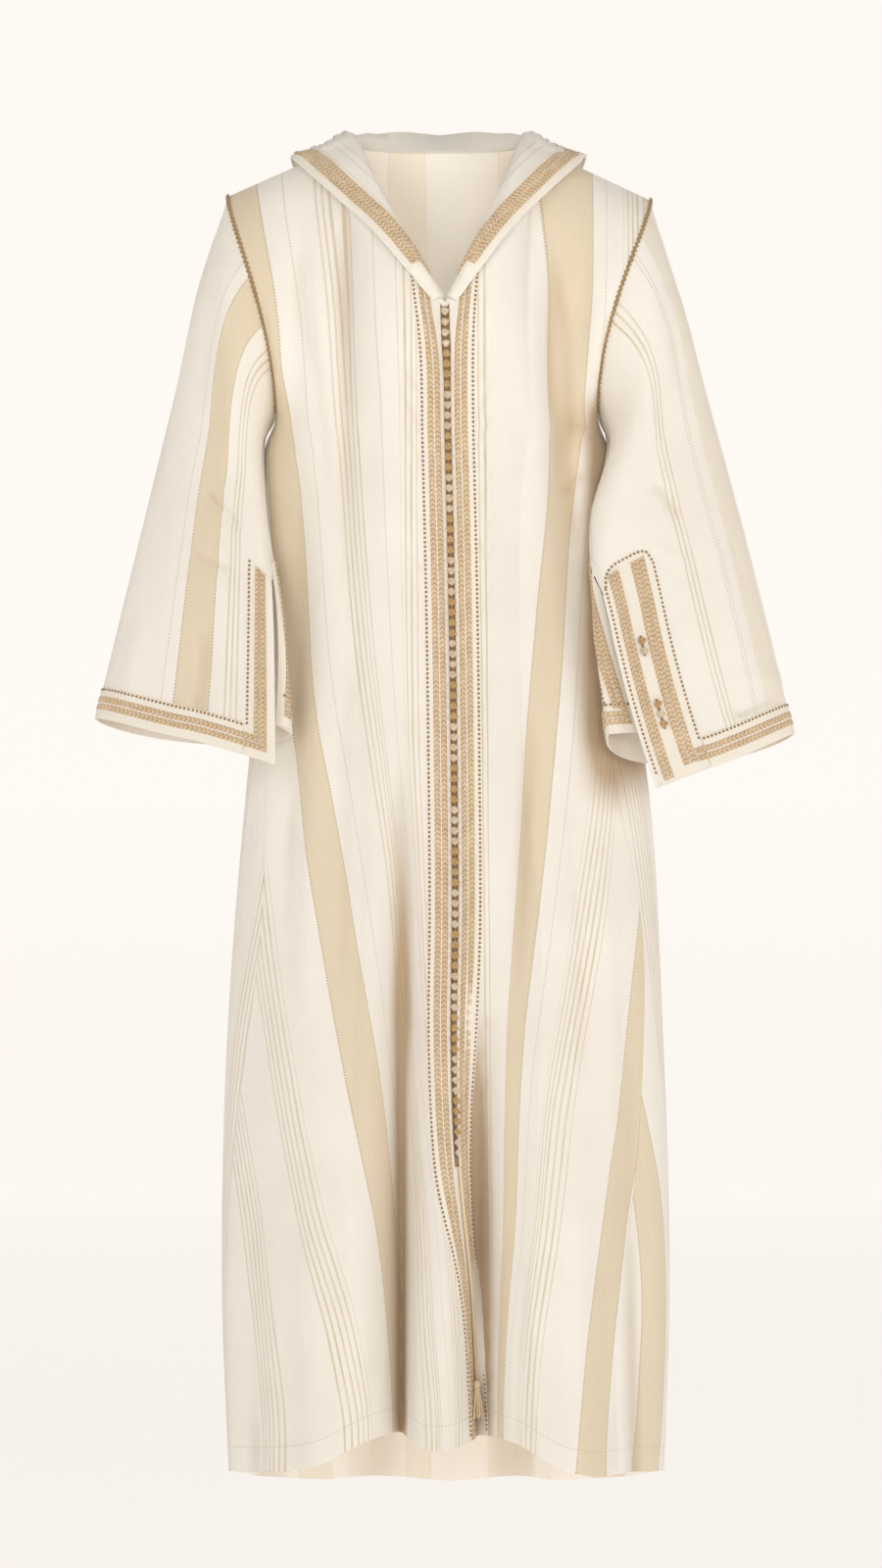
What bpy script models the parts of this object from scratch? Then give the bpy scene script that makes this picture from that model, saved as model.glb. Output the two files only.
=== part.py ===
"""Djellaba: a long hooded robe of striped cotton, worn, hollow, with its sleeves hanging.

Metres, +Z up, +X to the right of someone facing the robe, whose front looks along -Y.
The origin is the middle of the neck, where the wearer's shoulders hold the robe up.
Every piece of cloth is a grid of points worked out from the tables below: rows run from
the shoulder to the hem, columns from the centre out to the side. A wall is that grid and
the same grid moved inward by the cloth's thickness.
"""
import math
from collections import namedtuple

import bmesh
import bpy
import numpy as np
from mathutils import Vector

# ---------------------------------------------------------------- driving sizes
CLOTH = 0.0016              # thickness of the cloth
BRAID = 0.0011              # thickness of the woven gold braid
GAP = 0.0003                # between pieces that are sewn or laid on each other
CHEST_Z = -0.30             # level of the underarms
SQUARENESS = 2.3            # of the robe's plan: 2 is an ellipse, more is squarer
PLAN_ASPECT = 0.55          # depth over width of the plan, to measure round it

# plan of the robe at a few levels: reach to the left, right, front and back
BodyLevel = namedtuple("BodyLevel", "z left right front back")
BODY = (
    BodyLevel(-1.45, 0.229, 0.236, 0.128, 0.128),
    BodyLevel(-1.20, 0.237, 0.243, 0.128, 0.122),
    BodyLevel(-0.95, 0.231, 0.236, 0.126, 0.115),
    BodyLevel(-0.70, 0.212, 0.222, 0.122, 0.110),
    BodyLevel(-0.50, 0.192, 0.194, 0.118, 0.107),
    BodyLevel(-0.30, 0.179, 0.167, 0.113, 0.104),
)

# where the seams run, seen from the front: they swing forward of the sides
SeamLevel = namedtuple("SeamLevel", "z left centre right")
SEAMS = (
    SeamLevel(-1.43, 0.226, 0.038, 0.196),
    SeamLevel(-1.26, 0.232, 0.028, 0.193),
    SeamLevel(-1.10, 0.227, 0.014, 0.209),
    SeamLevel(-0.97, 0.213, 0.011, 0.214),
    SeamLevel(-0.83, 0.194, 0.013, 0.212),
    SeamLevel(-0.68, 0.189, 0.012, 0.184),
    SeamLevel(-0.47, 0.187, 0.009, 0.165),
    SeamLevel(-0.30, 0.1786, 0.005, 0.1666),
)

# level of the hem round the robe, by the angle from the centre front, - to the left
HemPoint = namedtuple("HemPoint", "degrees z")
HEM = (
    HemPoint(-180, -1.432), HemPoint(-120, -1.426), HemPoint(-85, -1.415), HemPoint(-55, -1.411),
    HemPoint(-31, -1.402), HemPoint(-10, -1.370), HemPoint(-1, -1.385), HemPoint(9, -1.372),
    HemPoint(30, -1.408), HemPoint(60, -1.412), HemPoint(90, -1.415), HemPoint(120, -1.426),
    HemPoint(180, -1.432),
)

# folds: where each lies round the front or the back (from the centre, + to the right), the
# levels where it starts, is deepest and ends, its half width, its depth inward (- is a
# crest) and how far its two walls lean together. A fold that ends at the hem stays open.
Fold = namedtuple("Fold", "name face x_top x_end z_top z_deep z_end width depth pinch")
TO_HEM = -1.44
FOLDS = (
    Fold("placket_valley", "front", 0.034, 0.043, -0.80, -1.34, TO_HEM, 0.019, 0.064, 0.08),
    Fold("left_valley", "front", -0.044, -0.050, -0.58, -1.34, TO_HEM, 0.020, 0.070, 0.10),
    Fold("middle_crest", "front", -0.008, 0.002, -0.75, -1.25, TO_HEM, 0.022, -0.012, 0.0),
    Fold("left_lobe", "front", -0.110, -0.132, -0.70, -1.30, TO_HEM, 0.048, -0.016, 0.0),
    Fold("right_lobe", "front", 0.115, 0.140, -0.75, -1.30, TO_HEM, 0.052, -0.018, 0.0),
    Fold("left_flank", "front", -0.205, -0.225, -0.75, -1.25, TO_HEM, 0.028, 0.012, 0.0),
    Fold("right_flank", "front", 0.205, 0.228, -0.85, -1.25, TO_HEM, 0.026, 0.012, 0.0),
    Fold("left_lapel_fold", "front", -0.116, -0.100, -0.03, -0.20, -0.62, 0.017, 0.011, 0.0),
    Fold("right_lapel_fold", "front", 0.120, 0.150, -0.03, -0.22, -0.70, 0.018, 0.013, 0.0),
    Fold("right_lapel_crest", "front", 0.088, 0.100, -0.05, -0.25, -0.80, 0.020, -0.006, 0.0),
    Fold("right_hip_fold", "front", 0.112, 0.075, -0.40, -0.72, -1.05, 0.020, 0.012, 0.0),
    Fold("left_hip_fold", "front", -0.160, -0.175, -0.32, -0.60, -0.95, 0.018, 0.009, 0.0),
    Fold("back_middle_valley", "back", 0.004, 0.010, -0.45, -1.30, TO_HEM, 0.042, 0.050, 0.06),
    Fold("back_left_valley", "back", -0.105, -0.150, -0.40, -1.30, TO_HEM, 0.040, 0.046, 0.06),
    Fold("back_right_valley", "back", 0.110, 0.140, -0.48, -1.30, TO_HEM, 0.038, 0.050, 0.06),
    Fold("back_left_crest", "back", -0.055, -0.072, -0.45, -1.25, TO_HEM, 0.040, -0.016, 0.0),
    Fold("back_right_crest", "back", 0.060, 0.078, -0.50, -1.25, TO_HEM, 0.036, -0.018, 0.0),
    Fold("back_left_side", "back", -0.215, -0.250, -0.60, -1.30, TO_HEM, 0.030, 0.016, 0.0),
    Fold("back_right_side", "back", 0.210, 0.240, -0.66, -1.30, TO_HEM, 0.028, 0.018, 0.0),
)

# neck and shoulders
V_POINT = (0.002, -0.115, -0.170)
NECK_BACK = (-0.004, 0.066, 0.000)
NECK_CENTRE = (-0.004, 0.005, 0.000)
Shoulder = namedtuple("Shoulder", "side neck tip v_handle neck_handle back_handle")
SHOULDERS = {
    "left": Shoulder(-1, (-0.104, 0.012, 0.006), (-0.230, 0.008, -0.050),
                     (-0.035, -0.110, -0.118), (-0.090, -0.058, -0.045), (-0.095, 0.045, 0.002)),
    "right": Shoulder(1, (0.094, 0.012, 0.006), (0.222, 0.008, -0.054),
                      (0.036, -0.110, -0.118), (0.080, -0.058, -0.045), (0.086, 0.045, 0.002)),
}

# braid on the fronts: distances from the centre front of the edges of its two bands
PLACKET_BANDS = ((0.0075, 0.0135), (0.0148, 0.0212))
PLACKET_STITCH = 0.028
# braid round the cuffs and the hood's edge: distances from the cut edge
CUFF_BANDS = ((0.010, 0.0165), (0.018, 0.0245))
CUFF_STITCH = 0.033
HOOD_BANDS = ((0.0085, 0.0155), (0.0178, 0.0250))
# braid beside the underarm slit of each sleeve: distances from the slit's front edge, and
# from its back edge
Slit = namedtuple("Slit", "front_bands stitch back_band")
SLITS = {
    "left": Slit(((0.008, 0.0145), (0.016, 0.0225)), 0.031, (0.008, 0.0225)),
    "right": Slit(((0.010, 0.0225), (0.038, 0.055)), 0.065, (0.008, 0.0225)),
}

# the sleeves, from the armhole (0) to the cuff (1): the outer and inner edge of the flattened
# tube, half its depth, how far the slit's front edge is turned back from the inner edge and
# its back edge runs on past it (radians round the tube), and how far the front corner drops
SleeveLevel = namedtuple("SleeveLevel", "at outer_x outer_y outer_z inner_x inner_y inner_z "
                                        "half_depth front_turn back_turn drop")
SLEEVES = {
    "left": (
        SleeveLevel(0.00, -0.230, 0.008, -0.050, -0.179, -0.004, -0.300, 0.055, 0.0, 0.0, 0.0),
        SleeveLevel(0.18, -0.256, 0.002, -0.135, -0.190, -0.030, -0.322, 0.046, 0.0, 0.0, 0.0),
        SleeveLevel(0.40, -0.284, -0.006, -0.258, -0.188, -0.070, -0.390, 0.036, 0.0, 0.0, 0.0),
        SleeveLevel(0.70, -0.328, -0.020, -0.440, -0.170, -0.102, -0.508, 0.030, 0.34, 0.30, 0.008),
        SleeveLevel(1.00, -0.370, -0.034, -0.612, -0.160, -0.114, -0.620, 0.028, 0.50, 0.56, 0.050),
    ),
    "right": (
        SleeveLevel(0.00, 0.222, 0.008, -0.054, 0.167, -0.004, -0.300, 0.055, 0.0, 0.0, 0.0),
        SleeveLevel(0.18, 0.246, 0.002, -0.138, 0.176, -0.030, -0.322, 0.046, 0.0, 0.0, 0.0),
        SleeveLevel(0.40, 0.280, -0.006, -0.262, 0.158, -0.084, -0.392, 0.036, 0.0, 0.0, 0.0),
        SleeveLevel(0.70, 0.330, -0.020, -0.448, 0.162, -0.114, -0.508, 0.030, 0.50, 0.50, 0.026),
        SleeveLevel(1.00, 0.374, -0.034, -0.628, 0.174, -0.118, -0.628, 0.028, 1.00, 0.90, 0.086),
    ),
}
SLIT_TOP = 0.55             # share of the sleeve's inner edge above its slit
SLIT_OPENS = 0.42           # where along the sleeve the slit's front edge starts to lift
SLIT_FLARE = 0.009          # how far that edge lifts forward
SLIT_FLARE_WIDTH = 0.06     # width of the cloth that lifts with it
UNDERLAP = 0.40             # depth of the slit's back edge, as a share of the front's
UNDERARM_EASE = 0.0018      # how far the sleeve's cloth stands off at the underarm point

# the hood's cut, from the centre front (0) to the centre back (1) of half the neckline, as
# four points of its cross-section: distance out from the neck seam and height over it of the
# crest, of the bottom of the fold and of the free edge, and the least it stands off the robe
HoodLevel = namedtuple("HoodLevel", "at crest_out crest_up low_out low_up edge_out edge_up clear")
HOOD = (
    HoodLevel(0.00, 0.001, 0.004, 0.003, 0.006, 0.009, 0.004, 0.004),
    HoodLevel(0.20, -0.006, 0.007, 0.003, 0.011, 0.014, 0.006, 0.004),
    HoodLevel(0.40, -0.009, 0.009, 0.006, 0.013, 0.026, 0.006, 0.004),
    HoodLevel(0.52, -0.009, 0.014, 0.014, 0.017, 0.044, 0.006, 0.006),
    HoodLevel(0.62, -0.005, 0.019, 0.027, 0.018, 0.058, -0.002, 0.010),
    HoodLevel(0.70, 0.000, 0.020, 0.038, -0.018, 0.068, -0.014, 0.014),
    HoodLevel(0.78, 0.006, 0.019, 0.044, -0.095, 0.076, -0.036, 0.014),
    HoodLevel(0.89, 0.012, 0.017, 0.046, -0.225, 0.085, -0.068, 0.014),
    HoodLevel(1.00, 0.016, 0.014, 0.054, -0.345, 0.092, -0.090, 0.014),
)
HOOD_SMOOTHINGS = 3         # times the hood's grid is evened out along its length
HOOD_START = 0.015          # share of the half neckline where the hood's edge leaves the V
SLEEVE_LIFT = 0.007         # least distance of the hanging sleeves from the body

# knotted buttons
KNOT_COUNT = 82
KNOT_PITCH = 0.0110
KNOT_RADIUS = 0.0040
CORD_RADIUS = 0.0014
CORD_SIDES = 6
KNOT_RINGS = ((-0.5, CORD_RADIUS), (-0.12, KNOT_RADIUS), (0.16, KNOT_RADIUS))   # along, radius
# pairs of knots that close the wide slit of the right sleeve: level and number of knots
SleeveButtons = namedtuple("SleeveButtons", "name level knots")
SLEEVE_BUTTONS = (SleeveButtons("upper", -0.534, 2), SleeveButtons("lower", -0.606, 3))

# tassel at the foot of the front opening
TASSEL_LEVEL = -1.318
TASSEL_OFF = (0.003, -0.0092, 0.0)   # from the edge of the opening
TASSEL_STRANDS = 14
TASSEL_RADIUS = 0.0046
TASSEL_NECK = 0.0018
TASSEL_HEAD = 0.009
TASSEL_LENGTH = 0.028
TASSEL_PARTING = 0.00025
TASSEL_SPREAD = 0.35
TASSEL_TAPER = 0.6

# fineness of the solids
YOKE_ROWS = 9
BODY_ROWS = 12
FRONT_COLUMNS = 15
BACK_COLUMNS = 17
SLEEVE_ROWS = 9
HOOD_COLUMNS = 17
HOOD_ROWS = 11
FINE_COLUMNS = 40
FINE_ROWS = 30

CREAM = (0.84, 0.80, 0.72)
GOLD = (0.62, 0.44, 0.24)
KNOT_COLOUR = (0.66, 0.52, 0.33)


# ---------------------------------------------------------------- curves and tables
def ease(x):
    x = np.clip(x, 0.0, 1.0)
    return x * x * (3.0 - 2.0 * x)


def spline(knots, values, at):
    """Smooth curve through the values at rising knots."""
    knots = np.asarray(knots, float)
    values = np.asarray(values, float)
    slopes = np.gradient(values, knots)
    at = np.clip(at, knots[0], knots[-1])
    cell = np.clip(np.searchsorted(knots, at) - 1, 0, len(knots) - 2)
    step = knots[cell + 1] - knots[cell]
    s = (at - knots[cell]) / step
    return ((1 + 2 * s) * (1 - s) ** 2 * values[cell] + s * (1 - s) ** 2 * step * slopes[cell]
            + s * s * (3 - 2 * s) * values[cell + 1] + s * s * (s - 1) * step * slopes[cell + 1])


def column(table, name, at):
    """Value of a named column of a table whose first column rises."""
    return spline([row[0] for row in table], [getattr(row, name) for row in table], at)


def bezier(points, s):
    """Point of a cubic Bezier curve; the last axis of each point holds x, y, z."""
    s = np.asarray(s, float)[..., None]
    p0, p1, p2, p3 = (np.asarray(p, float) for p in points)
    return ((1 - s) ** 3 * p0 + 3 * s * (1 - s) ** 2 * p1
            + 3 * s * s * (1 - s) * p2 + s ** 3 * p3)


def unit(v):
    return v / np.maximum(np.linalg.norm(v, axis=-1, keepdims=True), 1e-12)


def lengths(points):
    """Distance along a line of points from its first one."""
    steps = np.linalg.norm(np.diff(points, axis=0), axis=-1)
    return np.concatenate([[0.0], np.cumsum(steps)])


# ---------------------------------------------------------------- the robe's outer surface
def plan(theta, z):
    """Point of the smooth plan at angle theta from the centre front, + to the right."""
    width = np.where(theta < 0, column(BODY, "left", z), column(BODY, "right", z))
    depth = np.where(np.abs(theta) < math.pi / 2, column(BODY, "front", z), column(BODY, "back", z))
    sine, cosine = np.sin(theta), np.cos(theta)
    x = width * np.sign(sine) * np.abs(sine) ** (2 / SQUARENESS)
    y = -depth * np.sign(cosine) * np.abs(cosine) ** (2 / SQUARENESS)
    return np.stack([x, y, z + 0.0 * theta], axis=-1)


def arc_table():
    """Distance round a plan of width 1 from the centre front to the centre back."""
    angles = np.linspace(0.0, math.pi, 721)
    sine, cosine = np.sin(angles), np.cos(angles)
    points = np.stack([np.abs(sine) ** (2 / SQUARENESS),
                       -PLAN_ASPECT * np.sign(cosine) * np.abs(cosine) ** (2 / SQUARENESS)], axis=-1)
    return angles, lengths(points)


ARC_ANGLES, ARC_LENGTHS = arc_table()


def places(theta, z):
    """Distances round the plan from the centre front and from the centre back, + to the right."""
    width = np.where(theta < 0, column(BODY, "left", z), column(BODY, "right", z))
    arc = np.interp(np.abs(theta), ARC_ANGLES, ARC_LENGTHS)
    return np.sign(theta) * width * arc, np.sign(theta) * width * (ARC_LENGTHS[-1] - arc)


def fold_centre(fold, z):
    down = np.clip((fold.z_top - z) / (fold.z_top - fold.z_end), 0.0, 1.0)
    return fold.x_top + (fold.x_end - fold.x_top) * down


def fold_shift(theta, z):
    """How far the folds move the cloth inward, and sideways along it."""
    from_front, from_back = places(theta, z)
    inward = np.zeros_like(theta)
    sideways = np.zeros_like(theta)
    for fold in FOLDS:
        place = from_front if fold.face == "front" else from_back
        centre = fold_centre(fold, z)
        size = fold.depth * ease((fold.z_top - z) / (fold.z_top - fold.z_deep))
        if fold.z_end > TO_HEM:
            size = size * (1.0 - ease((fold.z_deep - z) / (fold.z_deep - fold.z_end)))
        off = (place - centre) / fold.width
        bell = np.exp(-off * off)
        inward += size * bell
        sideways -= fold.pinch * size * off * bell
    return inward, sideways


def plan_axes(theta, z):
    """Unit vectors along the plan and into the robe."""
    step = 0.01
    ahead = plan(theta + step, z) - plan(theta - step, z)
    ahead[..., 2] = 0.0
    ahead = unit(ahead)
    inward = np.stack([-ahead[..., 1], ahead[..., 0], np.zeros_like(ahead[..., 0])], axis=-1)
    return ahead, inward


def surface(theta, z):
    """Point of the folded robe."""
    ahead, inward = plan_axes(theta, z)
    depth, slide = fold_shift(theta, z)
    return plan(theta, z) + inward * depth[..., None] + ahead * slide[..., None]


def seam_angle(name, z):
    """Angle of the left, centre or right seam at a level."""
    x = column(SEAMS, name, z)
    side = "left" if name == "left" else "right"
    sign = -1.0 if name == "left" else 1.0
    share = np.clip(x / column(BODY, side, z), 0.0, 1.0)
    return sign * np.arcsin(share ** (SQUARENESS / 2))


def hem_level(theta):
    return column(HEM, "z", np.degrees(theta))


# ---------------------------------------------------------------- grids of the body's panels
def grid_normals(points):
    """Outward unit normals of a grid: each the middle of those of the cells it touches."""
    cells = unit(np.cross(points[1:, 1:] - points[:-1, :-1], points[:-1, 1:] - points[1:, :-1]))
    normals = np.zeros_like(points)
    for rows in (slice(None, -1), slice(1, None)):
        for columns in (slice(None, -1), slice(1, None)):
            normals[rows, columns] += cells
    return unit(normals)


def top_line(side, face):
    """The neckline and shoulder seam of half a panel, from its centre out to the tip."""
    s = np.linspace(0.0, 1.0, 41)
    if face == "front":
        neck = bezier((V_POINT, side.v_handle, side.neck_handle, side.neck), s)
    else:
        first = (NECK_BACK[0] + 0.5 * (side.neck[0] - NECK_BACK[0]), NECK_BACK[1], NECK_BACK[2])
        neck = bezier((NECK_BACK, first, side.back_handle, side.neck), s)
    return neck, np.linspace(side.neck, side.tip, 21)


def column_places(start, end, z, anchor, count):
    """Places of a row's columns between two places: even, but for the ones that follow the
    bottom and the outer wall of a deep fold."""
    if anchor is None:
        return np.linspace(start, end, count + 1)
    fold = next(fold for fold in FOLDS if fold.name == anchor)
    outward = math.copysign(fold.width, end)
    bottom = fold_centre(fold, z)
    inner = np.linspace(start, bottom, count // 3 + 1)
    wall_places = bottom + outward * np.array([0.7, 1.4, 2.1])
    rest = np.linspace(wall_places[-1], end, count - count // 3 - 2)
    return np.concatenate([inner, wall_places, rest[1:]])


def half_panel(side_name, face, count, marks=(0.0,), yoke_rows=YOKE_ROWS, body_rows=BODY_ROWS):
    """Grid of half the front or back: rows from the shoulder down, columns from the centre out."""
    side = SHOULDERS[side_name]
    side_z = np.full(1, CHEST_Z)

    def span(z):
        """Angles of the half's centre and side edge."""
        if face == "front":
            return seam_angle("centre", z), seam_angle(side_name, z)
        return np.full_like(z, side.side * math.pi), seam_angle(side_name, z)

    anchor = "left_valley" if (side_name, face) == ("left", "front") else None

    def settle(start, end, level):
        """Angles of one row's columns, and their distances along the folded cloth."""
        dense = start + (end - start) * np.linspace(0.0, 1.0, 1201)
        z = level(dense)
        reach = lengths(surface(dense, z))
        near = np.interp(np.array(marks), reach, dense)
        place = places(dense, z)[0 if face == "front" else 1]
        rising = place * side.side
        first = np.interp(marks[-1], reach, rising)
        wanted = column_places(first * side.side, place[-1], z[-1], anchor, count)
        far = np.interp(wanted * side.side, rising, dense)
        angles = np.concatenate([near[:-1], far])
        return angles, np.interp((angles - start) / (end - start), np.linspace(0.0, 1.0, 1201), reach)

    start, end = (angle[0] for angle in span(side_z))
    chest, across = settle(start, end, lambda dense: np.full_like(dense, CHEST_Z))

    # the top line, met by each column at the same share of its width as at the chest
    neck, shoulder = top_line(side, face)
    share = across / across[-1]
    straight = neck[0, 0] + (side.tip[0] - neck[0, 0]) * share
    corner = int(np.argmin(np.abs(straight - side.neck[0])))
    x = np.where(np.arange(len(share)) <= corner,
                 neck[0, 0] + (side.neck[0] - neck[0, 0]) * share / share[corner],
                 side.neck[0] + (side.tip[0] - side.neck[0]) * (share - share[corner])
                 / (1 - share[corner]))
    line = np.concatenate([neck, shoulder[1:]])
    order = np.argsort(line[:, 0])
    top = np.stack([x] + [np.interp(x, line[order, 0], line[order, axis]) for axis in (1, 2)], axis=-1)

    # columns of the yoke: from the top line over the shoulder and down to the chest
    forward = -1.0 if face == "front" else 1.0
    from_neck = np.clip((x - neck[0, 0]) / (side.neck[0] - neck[0, 0]), 0.0, 1.0)[:, None]
    at_centre = np.array([0.0, 0.18 * forward, -1.0])
    at_shoulder = np.array([0.0, forward, -0.45])
    leave = unit(at_centre + (at_shoulder - at_centre) * from_neck ** 1.4) * (0.05 + 0.028 * from_neck)
    foot = plan(chest, np.full_like(chest, CHEST_Z))
    rise = unit(foot - plan(chest, np.full_like(chest, CHEST_Z - 0.02)))
    toward_arm = ease((share[:, None] - 0.7) / 0.3)
    arrive = rise * 0.10 + toward_arm * np.array([0.0, 0.078 * forward, 0.0])
    rows = []
    ahead, inward = plan_axes(chest, np.full_like(chest, CHEST_Z))
    for s in np.linspace(0.0, 1.0, yoke_rows + 1):
        base = bezier((top, top + leave, foot + arrive, foot), np.full(len(x), s))
        depth, slide = fold_shift(chest, base[:, 2])
        calm = ease(s / 0.45) * (1.0 - (1.0 - s) * toward_arm[:, 0])
        rows.append(base + inward * (depth * calm)[:, None] + ahead * (slide * calm)[:, None])
    across_rows = [across] * len(rows)

    for s in np.linspace(0.0, 1.0, body_rows + 1)[1:]:
        level = lambda dense, s=s: CHEST_Z + (hem_level(dense) - CHEST_Z) * s
        start, end = (angle[0] for angle in span(np.full(1, CHEST_Z + (TO_HEM + 0.03 - CHEST_Z) * s)))
        angles, across = settle(start, end, level)
        rows.append(surface(angles, level(angles)))
        across_rows.append(across)

    points = np.array(rows)
    across = np.array(across_rows)
    steps = np.linalg.norm(np.diff(points, axis=0), axis=-1)
    down = np.concatenate([np.zeros((1, points.shape[1])), np.cumsum(steps, axis=0)])
    return points, across, down


def draw_in(points, edges, distance=GAP / 2):
    """Move a grid's edges in by half the gap between sewn pieces."""
    moved = points.copy()
    for edge in edges:
        first, second = {"first_column": ((slice(None), 0), (slice(None), 1)),
                         "last_column": ((slice(None), -1), (slice(None), -2)),
                         "first_row": ((0,), (1,)),
                         "last_row": ((-1,), (-2,))}[edge]
        moved[first] += unit(points[second] - points[first]) * distance
    return moved


# ---------------------------------------------------------------- sleeves
def sleeve_axes(name, at):
    """Middle of a sleeve's section, half its width as a vector, and the way to its front."""
    table = SLEEVES[name]
    outer = np.array([column(table, "outer_" + axis, at) for axis in "xyz"])
    inner = np.array([column(table, "inner_" + axis, at) for axis in "xyz"])
    half = (inner - outer) / 2
    side = SHOULDERS[name].side
    toward_front = unit(np.cross(half, np.array([0.0, side * 0.35, side * 1.0])))
    return (outer + inner) / 2, half, toward_front * np.sign(-toward_front[1])


def sleeve_ring(name, at, psi):
    """Point of a sleeve's section, psi from its inner edge round the front to the outer edge."""
    table = SLEEVES[name]
    middle, half, toward_front = sleeve_axes(name, at)
    sine, cosine = np.sin(psi), np.cos(psi)
    power = 2 / SQUARENESS
    swell = np.sign(sine) * np.abs(sine) ** power * np.where(psi > 2 * math.pi, UNDERLAP, 1.0)
    reach = np.sign(cosine) * np.abs(cosine) ** power
    depth = column(table, "half_depth", at)
    ring = middle + half * reach[:, None] + toward_front * (depth * swell)[:, None]
    front_share = np.where(psi <= math.pi, 1.0, np.clip((2 * math.pi - psi) / math.pi, 0.0, 1.0))
    ring[:, 2] -= column(table, "drop", at) * (1 + cosine) / 2 * front_share
    return ring


def sleeve_grid(name, armhole, rows=SLEEVE_ROWS, depth_steps=61):
    """Grid of a sleeve: rows from armhole to cuff, columns from the slit's front edge round
    the front, the outer edge and the back to the slit's back edge."""
    table = SLEEVES[name]
    count = len(armhole) - 1
    slit = SLITS[name]
    front_marks = [0.0] + [mark for pair in slit.front_bands for mark in pair] + [slit.stitch]
    back_marks = [slit.back_band[1], slit.back_band[0], 0.0]
    fold = count // 2
    columns = []
    distances = []
    steps = np.linspace(0.0, 1.0, depth_steps)
    for at in steps:
        turn_front = column(table, "front_turn", at)
        turn_back = column(table, "back_turn", at)
        psi = np.linspace(turn_front, 2 * math.pi + turn_back, 481)
        reach = lengths(sleeve_ring(name, at, psi))
        total = reach[-1]
        outer = np.interp(math.pi, psi, reach)
        forward = np.linspace(front_marks[-1], outer, fold - len(front_marks) + 2)
        behind = np.linspace(outer, total - back_marks[0], fold - len(back_marks) + 2)
        wanted = np.concatenate([front_marks[:-1], forward, behind[1:], total - np.array(back_marks[1:])])
        open_share = ease((at - SLIT_OPENS) / 0.25)
        from_edge = np.clip(1.0 - wanted / SLIT_FLARE_WIDTH, 0.0, 1.0)
        flare = sleeve_axes(name, at)[2] * (SLIT_FLARE * open_share * from_edge ** 2)[:, None]
        columns.append(sleeve_ring(name, at, np.interp(wanted, reach, psi)) + flare)
        distances.append(wanted / total)
    tube = np.array(columns)
    fade = (1.0 - ease(steps / 0.45))[:, None, None]
    tube = tube + (armhole - tube[0]) * fade

    cuff_marks = [0.0] + [mark for band in CUFF_BANDS for mark in band]
    points = []
    downs = []
    for k in range(count + 1):
        reach = lengths(tube[:, k])
        even = np.linspace(0.0, reach[-1] - CUFF_STITCH, rows + 1)
        wanted = np.concatenate([even, reach[-1] - np.array(sorted(cuff_marks, reverse=True))])
        points.append(np.stack([np.interp(wanted, reach, tube[:, k, axis]) for axis in range(3)], axis=-1))
        downs.append(reach[-1] - wanted)
    grid = np.array(points).transpose(1, 0, 2)
    share = np.array(distances[0])
    return grid, np.broadcast_to(share, grid.shape[:2]), np.array(downs).T


def slit_row(rows=SLEEVE_ROWS):
    """First row of a sleeve where its slit is open."""
    return int(round(SLIT_TOP * rows))


# ---------------------------------------------------------------- hood
def neckline(side_name, shares):
    """Half the neckline, from the V up to the shoulder and round to the centre back."""
    side = SHOULDERS[side_name]
    front = top_line(side, "front")[0]
    back = top_line(side, "back")[0][::-1]
    line = np.concatenate([front, back[1:]])
    reach = lengths(line) / lengths(line)[-1]
    return np.stack([np.interp(shares, reach, line[:, axis]) for axis in range(3)], axis=-1)


def hood_frame(side_name, shares):
    """Unit vectors out from the neck opening, over the cloth beside it, and away from it."""
    line = neckline(side_name, shares)
    sign = SHOULDERS[side_name].side
    radial = (line - np.array(NECK_CENTRE)) * np.array([1.0, 1.0, 0.0])
    along_front = np.broadcast_to(unit(np.array([sign * 1.0, -0.05, -0.42])), line.shape)
    along_back = unit(radial)
    to_shoulder = ease((shares - 0.42) / 0.20)[:, None]
    flat = unit(along_front * np.array([1.0, 1.0, 0.25]))
    outward = unit(along_front * (1 - to_shoulder) + flat * to_shoulder)
    to_back = ease((shares - 0.54) / 0.30)[:, None]
    outward = unit(outward * (1 - to_back) + along_back * to_back)
    up_front = np.broadcast_to(unit(np.array([0.0, -1.0, 0.30])), line.shape)
    up = unit(up_front * (1 - to_shoulder) + np.array([0.0, 0.0, 1.0]) * to_shoulder)
    return line, outward, up


def hood_half(side_name, columns=HOOD_COLUMNS, rows=HOOD_ROWS):
    """Half the hood from the V to the centre back; rows from the neck seam to the free edge."""
    shares = np.linspace(HOOD_START, 1.0, columns + 1)
    line, outward, up = hood_frame(side_name, shares)
    edge_marks = [0.0] + [mark for band in HOOD_BANDS for mark in band]
    grid = []
    for k, at in enumerate(shares):
        level = {name: column(HOOD, name, at) for name in HoodLevel._fields[1:]}
        outs = [0.0, level["crest_out"], level["low_out"], level["edge_out"]]
        ups = [0.0, level["crest_up"], level["low_up"], level["edge_up"]]
        knots = lengths(np.stack([outs, ups], axis=-1))
        dense = np.linspace(0.0, knots[-1], 161)
        section = np.stack([spline(knots, outs, dense), spline(knots, ups, dense)], axis=-1)
        reach = lengths(section)
        marks = np.array(sorted(edge_marks, reverse=True)) * min(1.0, reach[-1] / 0.055)
        wanted = np.concatenate([np.linspace(0.0, reach[-1] - marks[0], rows - len(marks) + 2)[:-1],
                                 reach[-1] - marks])
        out = np.interp(wanted, reach, section[:, 0])
        high = np.interp(wanted, reach, section[:, 1])
        grid.append(line[k] + outward[k] * out[:, None] + up[k] * high[:, None])
    return np.array(grid).transpose(1, 0, 2)


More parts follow.
